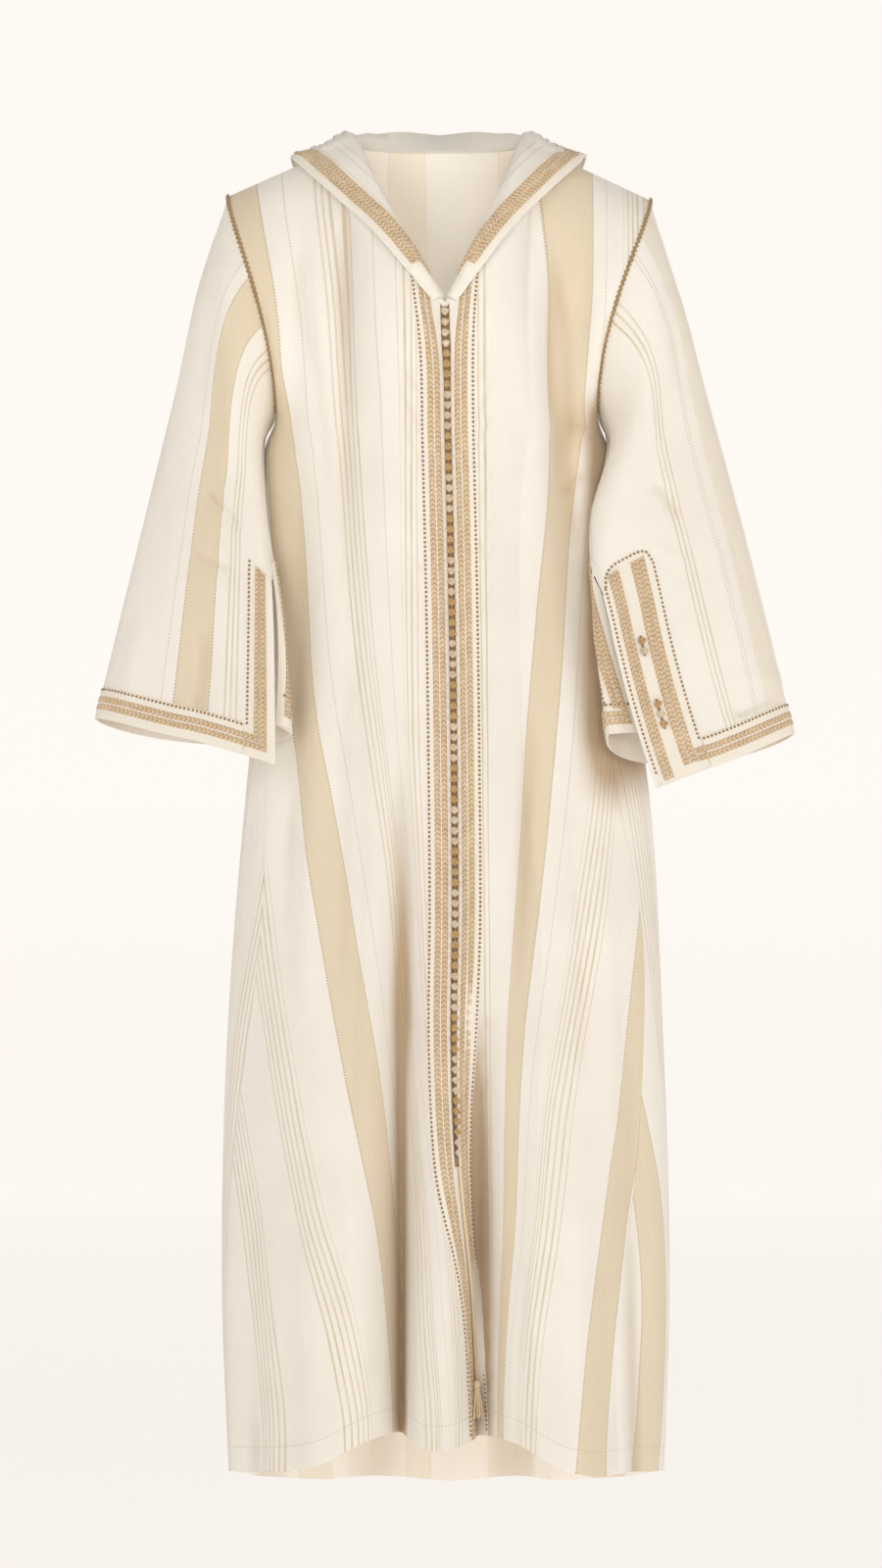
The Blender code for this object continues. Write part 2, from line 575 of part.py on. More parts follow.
def lift_clear(points, under, under_normals, least):
    """Move points out until they lie at least so far over the cloth under them."""
    moved = points.copy()
    for index in np.ndindex(points.shape[:2]):
        away = points[index] - under
        near = int(np.argmin(np.einsum("ij,ij->i", away, away)))
        height = float(away[near] @ under_normals[near])
        if height < least[index]:
            moved[index] = points[index] + under_normals[near] * (least[index] - height)
    return moved


def hood_grid(columns, rows, under, under_normals):
    """The whole hood, from the left end of the V round the back to the right end."""
    halves = [hood_half(name, columns, rows) for name in ("left", "right")]
    grid = np.concatenate([halves[0], halves[1][:, ::-1][:, 1:]], axis=1)
    from_front = 1.0 - np.abs(np.linspace(-1.0, 1.0, grid.shape[1]))
    free = 0.5 * (1.0 - ease((from_front - 0.75) / 0.2))[None, 1:-1, None]
    for _ in range(HOOD_SMOOTHINGS):
        beside = (grid[1:, :-2] + grid[1:, 2:]) / 2
        grid[1:, 1:-1] += free * (beside - grid[1:, 1:-1])
    share = np.linspace(0.0, 1.0, grid.shape[0])[:, None]
    least = GAP + column(HOOD, "clear", from_front) * ease(share / 0.3)
    least[0] = -1.0
    lifted = lift_clear(grid, under, under_normals, least)
    cloth_dips = np.maximum(0.0, grid_normals(lifted)[0, :, 2]) * CLOTH
    lifted[0, :, 2] += cloth_dips + 2 * GAP
    return draw_in(lifted, ("first_row",), GAP)


# ---------------------------------------------------------------- solids
def collection_for(name):
    made = bpy.data.collections.new(name)
    bpy.context.scene.collection.children.link(made)
    return made


def material(name, colour, roughness, metallic=0.0):
    made = bpy.data.materials.new(name)
    made.use_nodes = True
    shader = made.node_tree.nodes["Principled BSDF"]
    shader.inputs["Base Color"].default_value = (*colour, 1.0)
    shader.inputs["Roughness"].default_value = roughness
    shader.inputs["Metallic"].default_value = metallic
    return made


def object_from(name, mesh_data, finish, group):
    mesh = bpy.data.meshes.new(name)
    if mesh_data.calc_volume(signed=True) < 0:
        bmesh.ops.reverse_faces(mesh_data, faces=mesh_data.faces)
    mesh_data.normal_update()
    mesh_data.to_mesh(mesh)
    mesh_data.free()
    mesh.materials.append(finish)
    made = bpy.data.objects.new(name, mesh)
    group.objects.link(made)
    mesh.shade_smooth()
    mesh.set_sharp_from_angle(angle=math.radians(50))
    return made


def wall(name, outer, inner, finish, group, joined_rows=0):
    """Closed solid between two grids, both cut along the same diagonals. Its first and last
    column are one line down to the row before joined_rows, as in a tube slit from there on."""
    rows, columns = outer.shape[:2]
    mesh = bmesh.new()

    def layer(points):
        verts = {}
        for i in range(rows):
            for j in range(columns):
                if j == columns - 1 and i < joined_rows:
                    verts[i, j] = verts[i, 0]
                else:
                    verts[i, j] = mesh.verts.new(points[i, j])
        return verts

    top, bottom = layer(outer), layer(inner)
    for i in range(rows - 1):
        for j in range(columns - 1):
            ring = [(i, j), (i + 1, j), (i + 1, j + 1), (i, j + 1)]
            for triangle in (ring[:3], [ring[0], ring[2], ring[3]]):
                mesh.faces.new([top[key] for key in triangle])
                mesh.faces.new([bottom[key] for key in reversed(triangle)])
    partner = {top[key]: bottom[key] for key in top}
    for edge in [edge for edge in mesh.edges if len(edge.link_faces) == 1]:
        if edge.verts[0] in partner and edge.verts[1] in partner:
            loop = edge.link_loops[0]
            a, b = loop.vert, loop.link_loop_next.vert
            rim = [b, a, partner[a], partner[b]]
            if a.co.z < b.co.z:
                rim = rim[1:] + rim[:1]
            mesh.faces.new(rim[:3])
            mesh.faces.new([rim[0], rim[2], rim[3]])
    bmesh.ops.recalc_face_normals(mesh, faces=mesh.faces)
    return object_from(name, mesh, finish, group)


def band(name, points, normals, rows, columns, finish, group, over=0.0):
    """Strip of braid laid on part of a grid, that far over it besides the gap."""
    area = (slice(*rows), slice(*columns))
    low = points[area] + normals[area] * (over + GAP)
    high = points[area] + normals[area] * (over + GAP + BRAID)
    return wall(name, high, low, finish, group)


def knotted_cord(name, path, normals_out, finish, group, pitch=KNOT_PITCH):
    """Row of round knots on a cord: rings that swell at each knot, along a path of knots."""
    mesh = bmesh.new()
    rings = []
    count = len(path)
    ahead = unit(np.gradient(path, axis=0))
    across = unit(np.cross(ahead, normals_out))
    for k in range(count):
        for share, radius in KNOT_RINGS:
            middle = path[k] + ahead[k] * pitch * share
            angles = [2 * math.pi * m / CORD_SIDES for m in range(CORD_SIDES)]
            rings.append([mesh.verts.new(middle + radius * (math.cos(a) * across[k]
                                                            + math.sin(a) * normals_out[k]))
                          for a in angles])
    for first, second in zip(rings, rings[1:]):
        for m in range(CORD_SIDES):
            n = (m + 1) % CORD_SIDES
            mesh.faces.new([first[m], first[n], second[n], second[m]])
    mesh.faces.new(rings[0])
    mesh.faces.new(rings[-1])
    bmesh.ops.recalc_face_normals(mesh, faces=mesh.faces)
    return object_from(name, mesh, finish, group)


def tassel(name, top, finish, group):
    """Small tassel: a head whose underside is drawn out into strands."""
    mesh = bmesh.new()
    bmesh.ops.create_cone(mesh, cap_ends=True, cap_tris=False, segments=TASSEL_STRANDS,
                          radius1=TASSEL_RADIUS, radius2=TASSEL_NECK, depth=TASSEL_HEAD)
    base = min(mesh.faces, key=lambda face: face.calc_center_median().z)
    under = bmesh.ops.poke(mesh, faces=[base])["faces"]
    bmesh.ops.inset_individual(mesh, faces=under, thickness=TASSEL_PARTING)
    for face in under:
        drawn = bmesh.ops.extrude_discrete_faces(mesh, faces=[face])["faces"][0]
        middle = drawn.calc_center_median()
        spread = Vector((middle.x * TASSEL_SPREAD, middle.y * TASSEL_SPREAD, -TASSEL_LENGTH))
        for vert in drawn.verts:
            vert.co = middle + (vert.co - middle) * TASSEL_TAPER + spread
    for vert in mesh.verts:
        vert.co += Vector(top)
    bmesh.ops.recalc_face_normals(mesh, faces=mesh.faces)
    return object_from(name, mesh, finish, group)


# ---------------------------------------------------------------- the whole robe
def fine_body():
    """Closely spaced points of the body's cloth and their outward normals."""
    points, normals = [], []
    for name in SHOULDERS:
        for face in ("front", "back"):
            grid = half_panel(name, face, FINE_COLUMNS, (0.0,), FINE_ROWS, 2 * FINE_ROWS)[0]
            outward = grid_normals(grid) * (SHOULDERS[name].side * (1 if face == "front" else -1))
            points.append(grid.reshape(-1, 3))
            normals.append(outward.reshape(-1, 3))
    return np.concatenate(points), np.concatenate(normals)


def body_grids():
    """Grids of the fronts, the back and the sleeves, with outward normals that agree at seams."""
    marks = (0.0,) + tuple(mark for pair in PLACKET_BANDS for mark in pair) + (PLACKET_STITCH,)
    grids, normals, armholes = {}, {}, {}
    under, under_normals = fine_body()
    fronts = {name: half_panel(name, "front", FRONT_COLUMNS, marks)[0] for name in SHOULDERS}
    backs = {name: half_panel(name, "back", BACK_COLUMNS)[0] for name in SHOULDERS}
    grids["front_left"] = fronts["left"][:, ::-1]
    grids["front_right"] = fronts["right"]
    grids["back"] = np.concatenate([backs["right"][:, ::-1], backs["left"][:, 1:]], axis=1)
    for name in SHOULDERS:
        front_edge = fronts[name][:YOKE_ROWS + 1, -1]
        back_edge = backs[name][:YOKE_ROWS + 1, -1]
        armholes[name] = np.concatenate([front_edge[::-1], back_edge[1:]])
        stand_off = np.abs(np.linspace(-1.0, 1.0, 2 * YOKE_ROWS + 1)) ** 4 * UNDERARM_EASE
        ring = armholes[name] + SHOULDERS[name].side * stand_off[:, None] * np.array([1.0, 0.0, 0.0])
        hanging = sleeve_grid(name, ring)[0]
        beside = ease((CHEST_Z + 0.04 - hanging[..., 2]) / 0.05)
        grids["sleeve_" + name] = lift_clear(hanging, under, under_normals, SLEEVE_LIFT * beside - (1 - beside))
    for name, points in grids.items():
        normals[name] = grid_normals(points) * (-1.0 if name == "sleeve_left" else 1.0)

    # shoulder seams: both sides stand square to the seam
    for side in SHOULDERS.values():
        run = unit(np.array(side.tip) - np.array(side.neck))
        square = unit(np.array([-side.side * run[2] * side.side, 0.0, run[0]]) * side.side)
        for name in ("front_left", "front_right", "back"):
            top = grids[name][0]
            on_seam = (top[:, 0] - side.neck[0]) * side.side > -0.001
            on_seam &= np.abs(top[:, 1] - side.neck[1]) < 0.006
            normals[name][0][on_seam] = square

    # long seams: fronts to each other, and each front to the back under the arm
    below = slice(YOKE_ROWS, None)
    agree(normals, ("front_left", (slice(None), -1)), ("front_right", (slice(None), 0)))
    agree(normals, ("front_left", (below, 0)), ("back", (below, -1)))
    agree(normals, ("front_right", (below, -1)), ("back", (below, 0)))

    # armholes, round from the underarm over the front to the tip and down the back
    for name, front_column, back_column in (("left", 0, -1), ("right", -1, 0)):
        sleeve = normals["sleeve_" + name][0]
        front = normals["front_" + name][:YOKE_ROWS + 1, front_column]
        back = normals["back"][:YOKE_ROWS + 1, back_column]
        body = np.concatenate([front[::-1], back[1:]])
        body[YOKE_ROWS] = unit(front[0] + back[0])
        shared = unit(unit(body) + sleeve)
        seam = slice(2, -2)
        sleeve[seam] = shared[seam]
        front[:-2] = shared[2:YOKE_ROWS + 1][::-1]
        back[:-2] = shared[YOKE_ROWS:-2]
    return grids, normals


def agree(normals, *edges):
    """Give neighbours the same normals along their seam."""
    middle = unit(sum(normals[name][edge] for name, edge in edges))
    for name, edge in edges:
        normals[name][edge] = middle


def cloth_walls(grids, normals, finish, group):
    """The fronts, back and sleeves as walls, each drawn in a little from its seams."""
    edges = {"front_left": ("first_row", "first_column", "last_column"),
             "front_right": ("first_row", "first_column", "last_column"),
             "back": ("first_row", "first_column", "last_column"),
             "sleeve_left": ("first_row",), "sleeve_right": ("first_row",)}
    for name, points in grids.items():
        outer = draw_in(points, edges[name])
        inner = draw_in(points - normals[name] * CLOTH, edges[name])
        joined = slit_row() + 1 if name.startswith("sleeve") else 0
        wall(name, outer, inner, finish, group, joined)


def trims(grids, normals, hood, hood_normals, finish, group):
    """The bands of gold braid."""
    last = grids["front_left"].shape[1]
    for number, word in enumerate(("inner", "outer")):
        near, far = 1 + 2 * number, 3 + 2 * number
        spans = {"left": (last - far, last - near), "right": (near, far)}
        for name, columns in spans.items():
            band("placket_braid_%s_%s" % (name, word), grids["front_" + name],
                 normals["front_" + name], (1, -1), columns, finish, group)
    for name in SHOULDERS:
        sleeve, out = grids["sleeve_" + name], normals["sleeve_" + name]
        band("cuff_braid_%s_upper" % name, sleeve, out, (-5, -3), (0, None), finish, group)
        band("cuff_braid_%s_lower" % name, sleeve, out, (-3, -1), (0, None), finish, group)
        slit = (slit_row(), -5)
        band("slit_braid_%s_edge" % name, sleeve, out, slit, (1, 3), finish, group)
        band("slit_braid_%s_side" % name, sleeve, out, slit, (3, 5), finish, group)
        band("slit_braid_%s_back" % name, sleeve, out, slit, (-3, -1), finish, group, GAP)
    ends = (3, -3)
    band("hood_braid_inner", hood, hood_normals, (-5, -3), ends, finish, group, CLOTH + GAP)
    band("hood_braid_outer", hood, hood_normals, (-3, -1), ends, finish, group, CLOTH + GAP)


def along(line, distance):
    """Point of a line at a distance from its first one."""
    reach = lengths(line)
    return np.stack([np.interp(distance, reach, line[:, axis]) for axis in range(3)], axis=-1)


def place_knots(name, line, line_out, distances, finish, group):
    """Knotted cord on the cloth along a line."""
    out = unit(np.stack([np.interp(distances, lengths(line), line_out[:, axis])
                         for axis in range(3)], axis=-1))
    path = along(line, distances) + out * KNOT_RADIUS
    knotted_cord(name, path, out, finish, group)


def build():
    for old in list(bpy.data.objects):
        bpy.data.objects.remove(old, do_unlink=True)
    group = collection_for("djellaba")
    cloth = material("striped_cotton", CREAM, 0.85)
    gold = material("gold_braid", GOLD, 0.55)
    knots = material("knot_cord", KNOT_COLOUR, 0.6)

    grids, normals = body_grids()
    cloth_walls(grids, normals, cloth, group)

    hood = hood_grid(HOOD_COLUMNS, HOOD_ROWS, *fine_body())
    hood_normals = -grid_normals(hood)
    wall("hood", hood + hood_normals * CLOTH, hood, cloth, group)
    trims(grids, normals, hood, hood_normals, gold, group)

    front = grids["front_right"]
    front_out = normals["front_right"]
    starts = KNOT_PITCH * (np.arange(KNOT_COUNT) + 0.9)
    place_knots("button_knots", front[:, 0], front_out[:, 0], starts, knots, group)
    sleeve, sleeve_out = grids["sleeve_right"], normals["sleeve_right"]
    between = (sleeve[:, 2] + sleeve[:, 3]) / 2
    for pair in SLEEVE_BUTTONS:
        first = np.interp(-pair.level, -between[:, 2], lengths(between))
        places_down = first + KNOT_PITCH * (np.arange(pair.knots) - (pair.knots - 1) / 2)
        place_knots("sleeve_buttons_" + pair.name, between, sleeve_out[:, 2], places_down, knots, group)
    top = along(front[:, 0], np.interp(-TASSEL_LEVEL, -front[:, 0, 2], lengths(front[:, 0])))
    tassel("tassel", top + TASSEL_OFF, gold, group)


if __name__ == "__main__":
    build()
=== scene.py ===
"""Looks of the djellaba: its cloth as fine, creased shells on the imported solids' form, with
woven stripes, facings, braid, stitches, knotted buttons and a tassel, and a pale studio.

Metres, +Z up, the front looks along -Y. Left and right are those of someone facing the robe.
Each piece of cloth is a grid of points: rows run from the shoulder to the hem, columns from
the centre out to the side. A Sheet holds such a grid with its outward normals and, for each
point, its distance along the row from the edge that the trims are measured from.
"""
import math
import random
from collections import namedtuple

import bmesh
import bpy
import mathutils
import numpy as np
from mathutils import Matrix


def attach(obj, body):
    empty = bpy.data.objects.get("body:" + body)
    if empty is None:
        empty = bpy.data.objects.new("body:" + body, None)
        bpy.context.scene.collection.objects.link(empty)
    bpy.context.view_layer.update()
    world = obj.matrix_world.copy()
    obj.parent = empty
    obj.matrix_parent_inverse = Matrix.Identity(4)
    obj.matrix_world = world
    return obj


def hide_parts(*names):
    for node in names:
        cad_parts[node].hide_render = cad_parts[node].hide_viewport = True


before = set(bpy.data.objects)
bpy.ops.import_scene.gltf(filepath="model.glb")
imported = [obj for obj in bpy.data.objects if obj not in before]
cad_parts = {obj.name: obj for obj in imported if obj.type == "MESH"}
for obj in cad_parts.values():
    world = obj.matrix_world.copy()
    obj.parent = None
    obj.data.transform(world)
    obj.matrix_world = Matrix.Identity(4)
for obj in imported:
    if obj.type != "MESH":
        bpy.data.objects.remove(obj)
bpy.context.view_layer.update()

# ---------------------------------------------------------------- sizes of the robe
CLOTH = 0.0016              # thickness of the cloth
GAP = 0.0003                # between pieces that are sewn or laid on each other
CHEST_Z = -0.30             # level of the underarms
SQUARENESS = 2.3            # of the robe's plan: 2 is an ellipse, more is squarer
PLAN_ASPECT = 0.55          # depth over width of the plan, to measure round it

# plan of the robe at a few levels: reach to the left, right, front and back
BodyLevel = namedtuple("BodyLevel", "z left right front back")
BODY = (
    BodyLevel(-1.45, 0.229, 0.236, 0.128, 0.128),
    BodyLevel(-1.20, 0.237, 0.243, 0.128, 0.122),
    BodyLevel(-0.95, 0.231, 0.236, 0.126, 0.115),
    BodyLevel(-0.70, 0.212, 0.222, 0.122, 0.110),
    BodyLevel(-0.50, 0.192, 0.194, 0.118, 0.107),
    BodyLevel(-0.30, 0.179, 0.167, 0.113, 0.104),
)

# where the seams run, seen from the front: they swing forward of the sides
SeamLevel = namedtuple("SeamLevel", "z left centre right")
SEAMS = (
    SeamLevel(-1.43, 0.226, 0.038, 0.196),
    SeamLevel(-1.26, 0.232, 0.028, 0.193),
    SeamLevel(-1.10, 0.227, 0.014, 0.209),
    SeamLevel(-0.97, 0.213, 0.011, 0.214),
    SeamLevel(-0.83, 0.194, 0.013, 0.212),
    SeamLevel(-0.68, 0.189, 0.012, 0.184),
    SeamLevel(-0.47, 0.187, 0.009, 0.165),
    SeamLevel(-0.30, 0.1786, 0.005, 0.1666),
)

# level of the hem round the robe, by the angle from the centre front, - to the left
HemPoint = namedtuple("HemPoint", "degrees z")
HEM = (
    HemPoint(-180, -1.432), HemPoint(-120, -1.426), HemPoint(-85, -1.415), HemPoint(-55, -1.411),
    HemPoint(-31, -1.402), HemPoint(-10, -1.370), HemPoint(-1, -1.385), HemPoint(9, -1.372),
    HemPoint(30, -1.408), HemPoint(60, -1.412), HemPoint(90, -1.415), HemPoint(120, -1.426),
    HemPoint(180, -1.432),
)

# folds of the front and of the back: where each lies round it (from the centre, + to the right)
# at its top and end, the levels where it starts, is deepest and ends, its half width, its depth
# inward (- is a crest) and how far its two walls lean together. One that ends at the hem stays
# open. The first two of the front are the deep folds on both sides of the opening
Fold = namedtuple("Fold", "x_top x_end z_top z_deep z_end width depth pinch")
TO_HEM = -1.44
FOLDS = {
    "front": (
        Fold(0.034, 0.043, -0.80, -1.34, TO_HEM, 0.019, 0.064, 0.08),
        Fold(-0.044, -0.050, -0.58, -1.34, TO_HEM, 0.020, 0.070, 0.10),
        Fold(-0.008, 0.002, -0.75, -1.25, TO_HEM, 0.022, -0.012, 0.0),
        Fold(-0.110, -0.132, -0.70, -1.30, TO_HEM, 0.048, -0.016, 0.0),
        Fold(0.115, 0.140, -0.75, -1.30, TO_HEM, 0.052, -0.018, 0.0),
        Fold(-0.205, -0.225, -0.75, -1.25, TO_HEM, 0.028, 0.012, 0.0),
        Fold(0.205, 0.228, -0.85, -1.25, TO_HEM, 0.026, 0.012, 0.0),
        Fold(-0.116, -0.100, -0.03, -0.20, -0.62, 0.017, 0.011, 0.0),
        Fold(0.120, 0.150, -0.03, -0.22, -0.70, 0.018, 0.013, 0.0),
        Fold(0.088, 0.100, -0.05, -0.25, -0.80, 0.020, -0.006, 0.0),
        Fold(0.112, 0.075, -0.40, -0.72, -1.05, 0.020, 0.012, 0.0),
        Fold(-0.160, -0.175, -0.32, -0.60, -0.95, 0.018, 0.009, 0.0),
    ),
    "back": (
        Fold(0.004, 0.010, -0.45, -1.30, TO_HEM, 0.042, 0.050, 0.06),
        Fold(-0.105, -0.150, -0.40, -1.30, TO_HEM, 0.040, 0.046, 0.06),
        Fold(0.110, 0.140, -0.48, -1.30, TO_HEM, 0.038, 0.050, 0.06),
        Fold(-0.055, -0.072, -0.45, -1.25, TO_HEM, 0.040, -0.016, 0.0),
        Fold(0.060, 0.078, -0.50, -1.25, TO_HEM, 0.036, -0.018, 0.0),
        Fold(-0.215, -0.250, -0.60, -1.30, TO_HEM, 0.030, 0.016, 0.0),
        Fold(0.210, 0.240, -0.66, -1.30, TO_HEM, 0.028, 0.018, 0.0),
    ),
}

# neck and shoulders
V_POINT = (0.002, -0.115, -0.170)
NECK_BACK = (-0.004, 0.066, 0.000)
NECK_CENTRE = (-0.004, 0.005, 0.000)
Shoulder = namedtuple("Shoulder", "side neck tip v_handle neck_handle back_handle")
SHOULDERS = {
    "left": Shoulder(-1, (-0.104, 0.012, 0.006), (-0.230, 0.008, -0.050),
                     (-0.035, -0.110, -0.118), (-0.090, -0.058, -0.045), (-0.095, 0.045, 0.002)),
    "right": Shoulder(1, (0.094, 0.012, 0.006), (0.222, 0.008, -0.054),
                      (0.036, -0.110, -0.118), (0.080, -0.058, -0.045), (0.086, 0.045, 0.002)),
}

# braid on the fronts: distances from the centre front of the edges of its two bands
PLACKET_BANDS = ((0.0075, 0.0135), (0.0148, 0.0212))
PLACKET_STITCH = 0.028
# braid round the cuffs and the hood's edge: distances from the cut edge
CUFF_BANDS = ((0.010, 0.0165), (0.018, 0.0245))
CUFF_STITCH = 0.033
HOOD_BANDS = ((0.0085, 0.0155), (0.0178, 0.0250))
# underarm slit of each sleeve: distances of the braid and stitches from the slit's front edge;
# of the braid, the end of the facing and the stitches from its back edge; where the lower and
# the upper braid of the cuff begin; and how many rows the top of the front facing is rounded over
Slit = namedtuple("Slit", "front_bands stitch back_band back_facing back_stitch cuff_starts arch")
SLITS = {
    "left": Slit(((0.008, 0.0145), (0.016, 0.0225)), 0.031, (0.008, 0.0225), 0.027, 0.027,
                 (0.008, 0.016), 0.0),
    "right": Slit(((0.010, 0.0225), (0.038, 0.055)), 0.065, (0.008, 0.0225), 0.031, 0.030,
                  (0.0565, 0.0565), 3.0),
}

# the sleeves, from the armhole (0) to the cuff (1): the outer and inner edge of the flattened
# tube, half its depth, how far the slit's front edge is turned back from the inner edge and
# its back edge runs on past it (radians round the tube), and how far the front corner drops
SleeveLevel = namedtuple("SleeveLevel", "at outer_x outer_y outer_z inner_x inner_y inner_z "
                                        "half_depth front_turn back_turn drop")
SLEEVES = {
    "left": (
        SleeveLevel(0.00, -0.230, 0.008, -0.050, -0.179, -0.004, -0.300, 0.055, 0.0, 0.0, 0.0),
        SleeveLevel(0.18, -0.256, 0.002, -0.135, -0.190, -0.030, -0.322, 0.046, 0.0, 0.0, 0.0),
        SleeveLevel(0.40, -0.284, -0.006, -0.258, -0.188, -0.070, -0.390, 0.036, 0.0, 0.0, 0.0),
        SleeveLevel(0.70, -0.328, -0.020, -0.440, -0.170, -0.102, -0.508, 0.030, 0.34, 0.30, 0.008),
        SleeveLevel(1.00, -0.370, -0.034, -0.612, -0.160, -0.114, -0.620, 0.028, 0.50, 0.56, 0.050),
    ),
    "right": (
        SleeveLevel(0.00, 0.222, 0.008, -0.054, 0.167, -0.004, -0.300, 0.055, 0.0, 0.0, 0.0),
        SleeveLevel(0.18, 0.246, 0.002, -0.138, 0.176, -0.030, -0.322, 0.046, 0.0, 0.0, 0.0),
        SleeveLevel(0.40, 0.280, -0.006, -0.262, 0.158, -0.084, -0.392, 0.036, 0.0, 0.0, 0.0),
        SleeveLevel(0.70, 0.330, -0.020, -0.448, 0.162, -0.114, -0.508, 0.030, 0.50, 0.50, 0.026),
        SleeveLevel(1.00, 0.374, -0.034, -0.628, 0.174, -0.118, -0.628, 0.028, 1.00, 0.90, 0.086),
    ),
}
SLIT_TOP = 0.55             # share of the sleeve's inner edge above its slit
SLIT_OPENS = 0.42           # where along the sleeve the slit's front edge starts to lift
SLIT_FLARE = 0.009          # how far that edge lifts forward
SLIT_FLARE_WIDTH = 0.06     # width of the cloth that lifts with it
UNDERLAP = 0.40             # depth of the slit's back edge, as a share of the front's
UNDERARM_EASE = 0.0018      # how far the sleeve's cloth stands off at the underarm point

# the hood's cut, from the centre front (0) to the centre back (1) of half the neckline, as
# four points of its cross-section: distance out from the neck seam and height over it of the
# crest, of the bottom of the fold and of the free edge, and the least it stands off the robe
HoodLevel = namedtuple("HoodLevel", "at crest_out crest_up low_out low_up edge_out edge_up clear")
HOOD = (
    HoodLevel(0.00, 0.001, 0.004, 0.003, 0.006, 0.009, 0.004, 0.004),
    HoodLevel(0.20, -0.006, 0.007, 0.003, 0.011, 0.014, 0.006, 0.004),
    HoodLevel(0.40, -0.009, 0.009, 0.006, 0.013, 0.026, 0.006, 0.004),
    HoodLevel(0.52, -0.009, 0.014, 0.014, 0.017, 0.044, 0.006, 0.006),
    HoodLevel(0.62, -0.005, 0.019, 0.027, 0.018, 0.058, -0.002, 0.010),
    HoodLevel(0.70, 0.000, 0.020, 0.038, -0.018, 0.068, -0.014, 0.014),
    HoodLevel(0.78, 0.006, 0.019, 0.044, -0.095, 0.076, -0.036, 0.014),
    HoodLevel(0.89, 0.012, 0.017, 0.046, -0.225, 0.085, -0.068, 0.014),
    HoodLevel(1.00, 0.016, 0.014, 0.054, -0.345, 0.092, -0.090, 0.014),
)
HOOD_SMOOTHINGS = 43        # times the hood's grid is evened out along its length
HOOD_START = 0.015          # share of the half neckline where the hood's edge leaves the V
SLEEVE_LIFT = 0.007         # least distance of the hanging sleeves from the body

# fineness of the shells
YOKE_ROWS = 36
BODY_ROWS = 100
FRONT_COLUMNS = 84
BACK_COLUMNS = 90
SLEEVE_ROWS = 63
HOOD_COLUMNS = 64
HOOD_ROWS = 34
DENSE = 1201                # points that a row's columns are chosen from

# trims: thickness of the cream facing and of the braid on it, and how the braid is ribbed
FACING = 0.0006
BRAID = 0.0010
FACING_LIFT = 0.0002
PLACKET_FACING = (0.0034, 0.0292)   # where it starts and ends, from the centre front
OPENING_SHADE_STRIP = (0.0002, 0.0048)     # the same of the painted shade in the front's slit, a dark strip behind the knots
OPENING_SHADE_THICK = 0.0003
FACING_START = 0.0004       # of the sleeves' facings, from the cut edge
PAST_STITCH = 0.001         # from a line of stitches out to the end of its facing
CUFF_FREE = 6.0             # columns at each end of a cuff, and of the hood, without a facing
HOOD_FREE = 7.0
HOOD_FACING = 0.030
HOOD_BAND_SPREAD = 0.0009   # that its braid, pressed flat, is wider than the solid on each side
HOOD_CREASE_LIMIT = 0.0035  # the deepest that creases press into the hood
WIDEST_BAND = 0.009         # a wider place for braid holds two bands, this far from its middle
BAND_GAP = 0.0006
BACK_BAND_GAP = 0.0005
SLIT_BRAID_FREE = (0.4, 1.2)        # rows under the two braids beside the right sleeve's slit
ARCH_START = 0.0035         # first stitches of the rounded facing, from the slit's front edge
PLACKET_SPREAD = 0.011      # how far the front trims swing out beside the V, over so many rows
PLACKET_SPREAD_ROWS = 32
LAPEL_ROWS = (8, 5)         # rows at each end of the hood without the outer and the inner braid
HEM_STITCH = 0.026
STITCH = (0.0029, 0.0027)   # length and width of the dotted stitches
STITCH_PITCH = 0.0048
FINE_STITCH = (0.0024, 0.0007)
FINE_PITCH = 0.0036
ROPE = (0.0068, 0.0036)     # of the slanted rope stitches round the armholes
ROPE_PITCH = 0.0058
ROPE_SLANT = 0.6
ROPE_LIFT = 0.0011
PIPING_RADIUS = 0.0014
NECK_ROLL_RADIUS = 0.0012
SLIT_CORD_RADIUS = 0.0019

# knots of the front opening
KNOT_COUNT = 82
KNOT_PITCH = 0.0110
KNOT_RADIUS = 0.0040
KNOTS_A_COLOUR = 4
KNOT_STRAND = 0.0015        # radius of the strand that a knot is woven of
SleeveButtons = namedtuple("SleeveButtons", "name level knots")
SLEEVE_BUTTONS = (SleeveButtons("upper", -0.534, 2), SleeveButtons("lower", -0.606, 3))
SLEEVE_BUTTON_PLACE = 0.030  # from the front edge of the slit
TASSEL_LEVEL = -1.318
TASSEL_OFF = (0.003, -0.0092, 0.0)
SLIT_LEVEL = -1.085         # where the buttons end and the open slit of the front begins

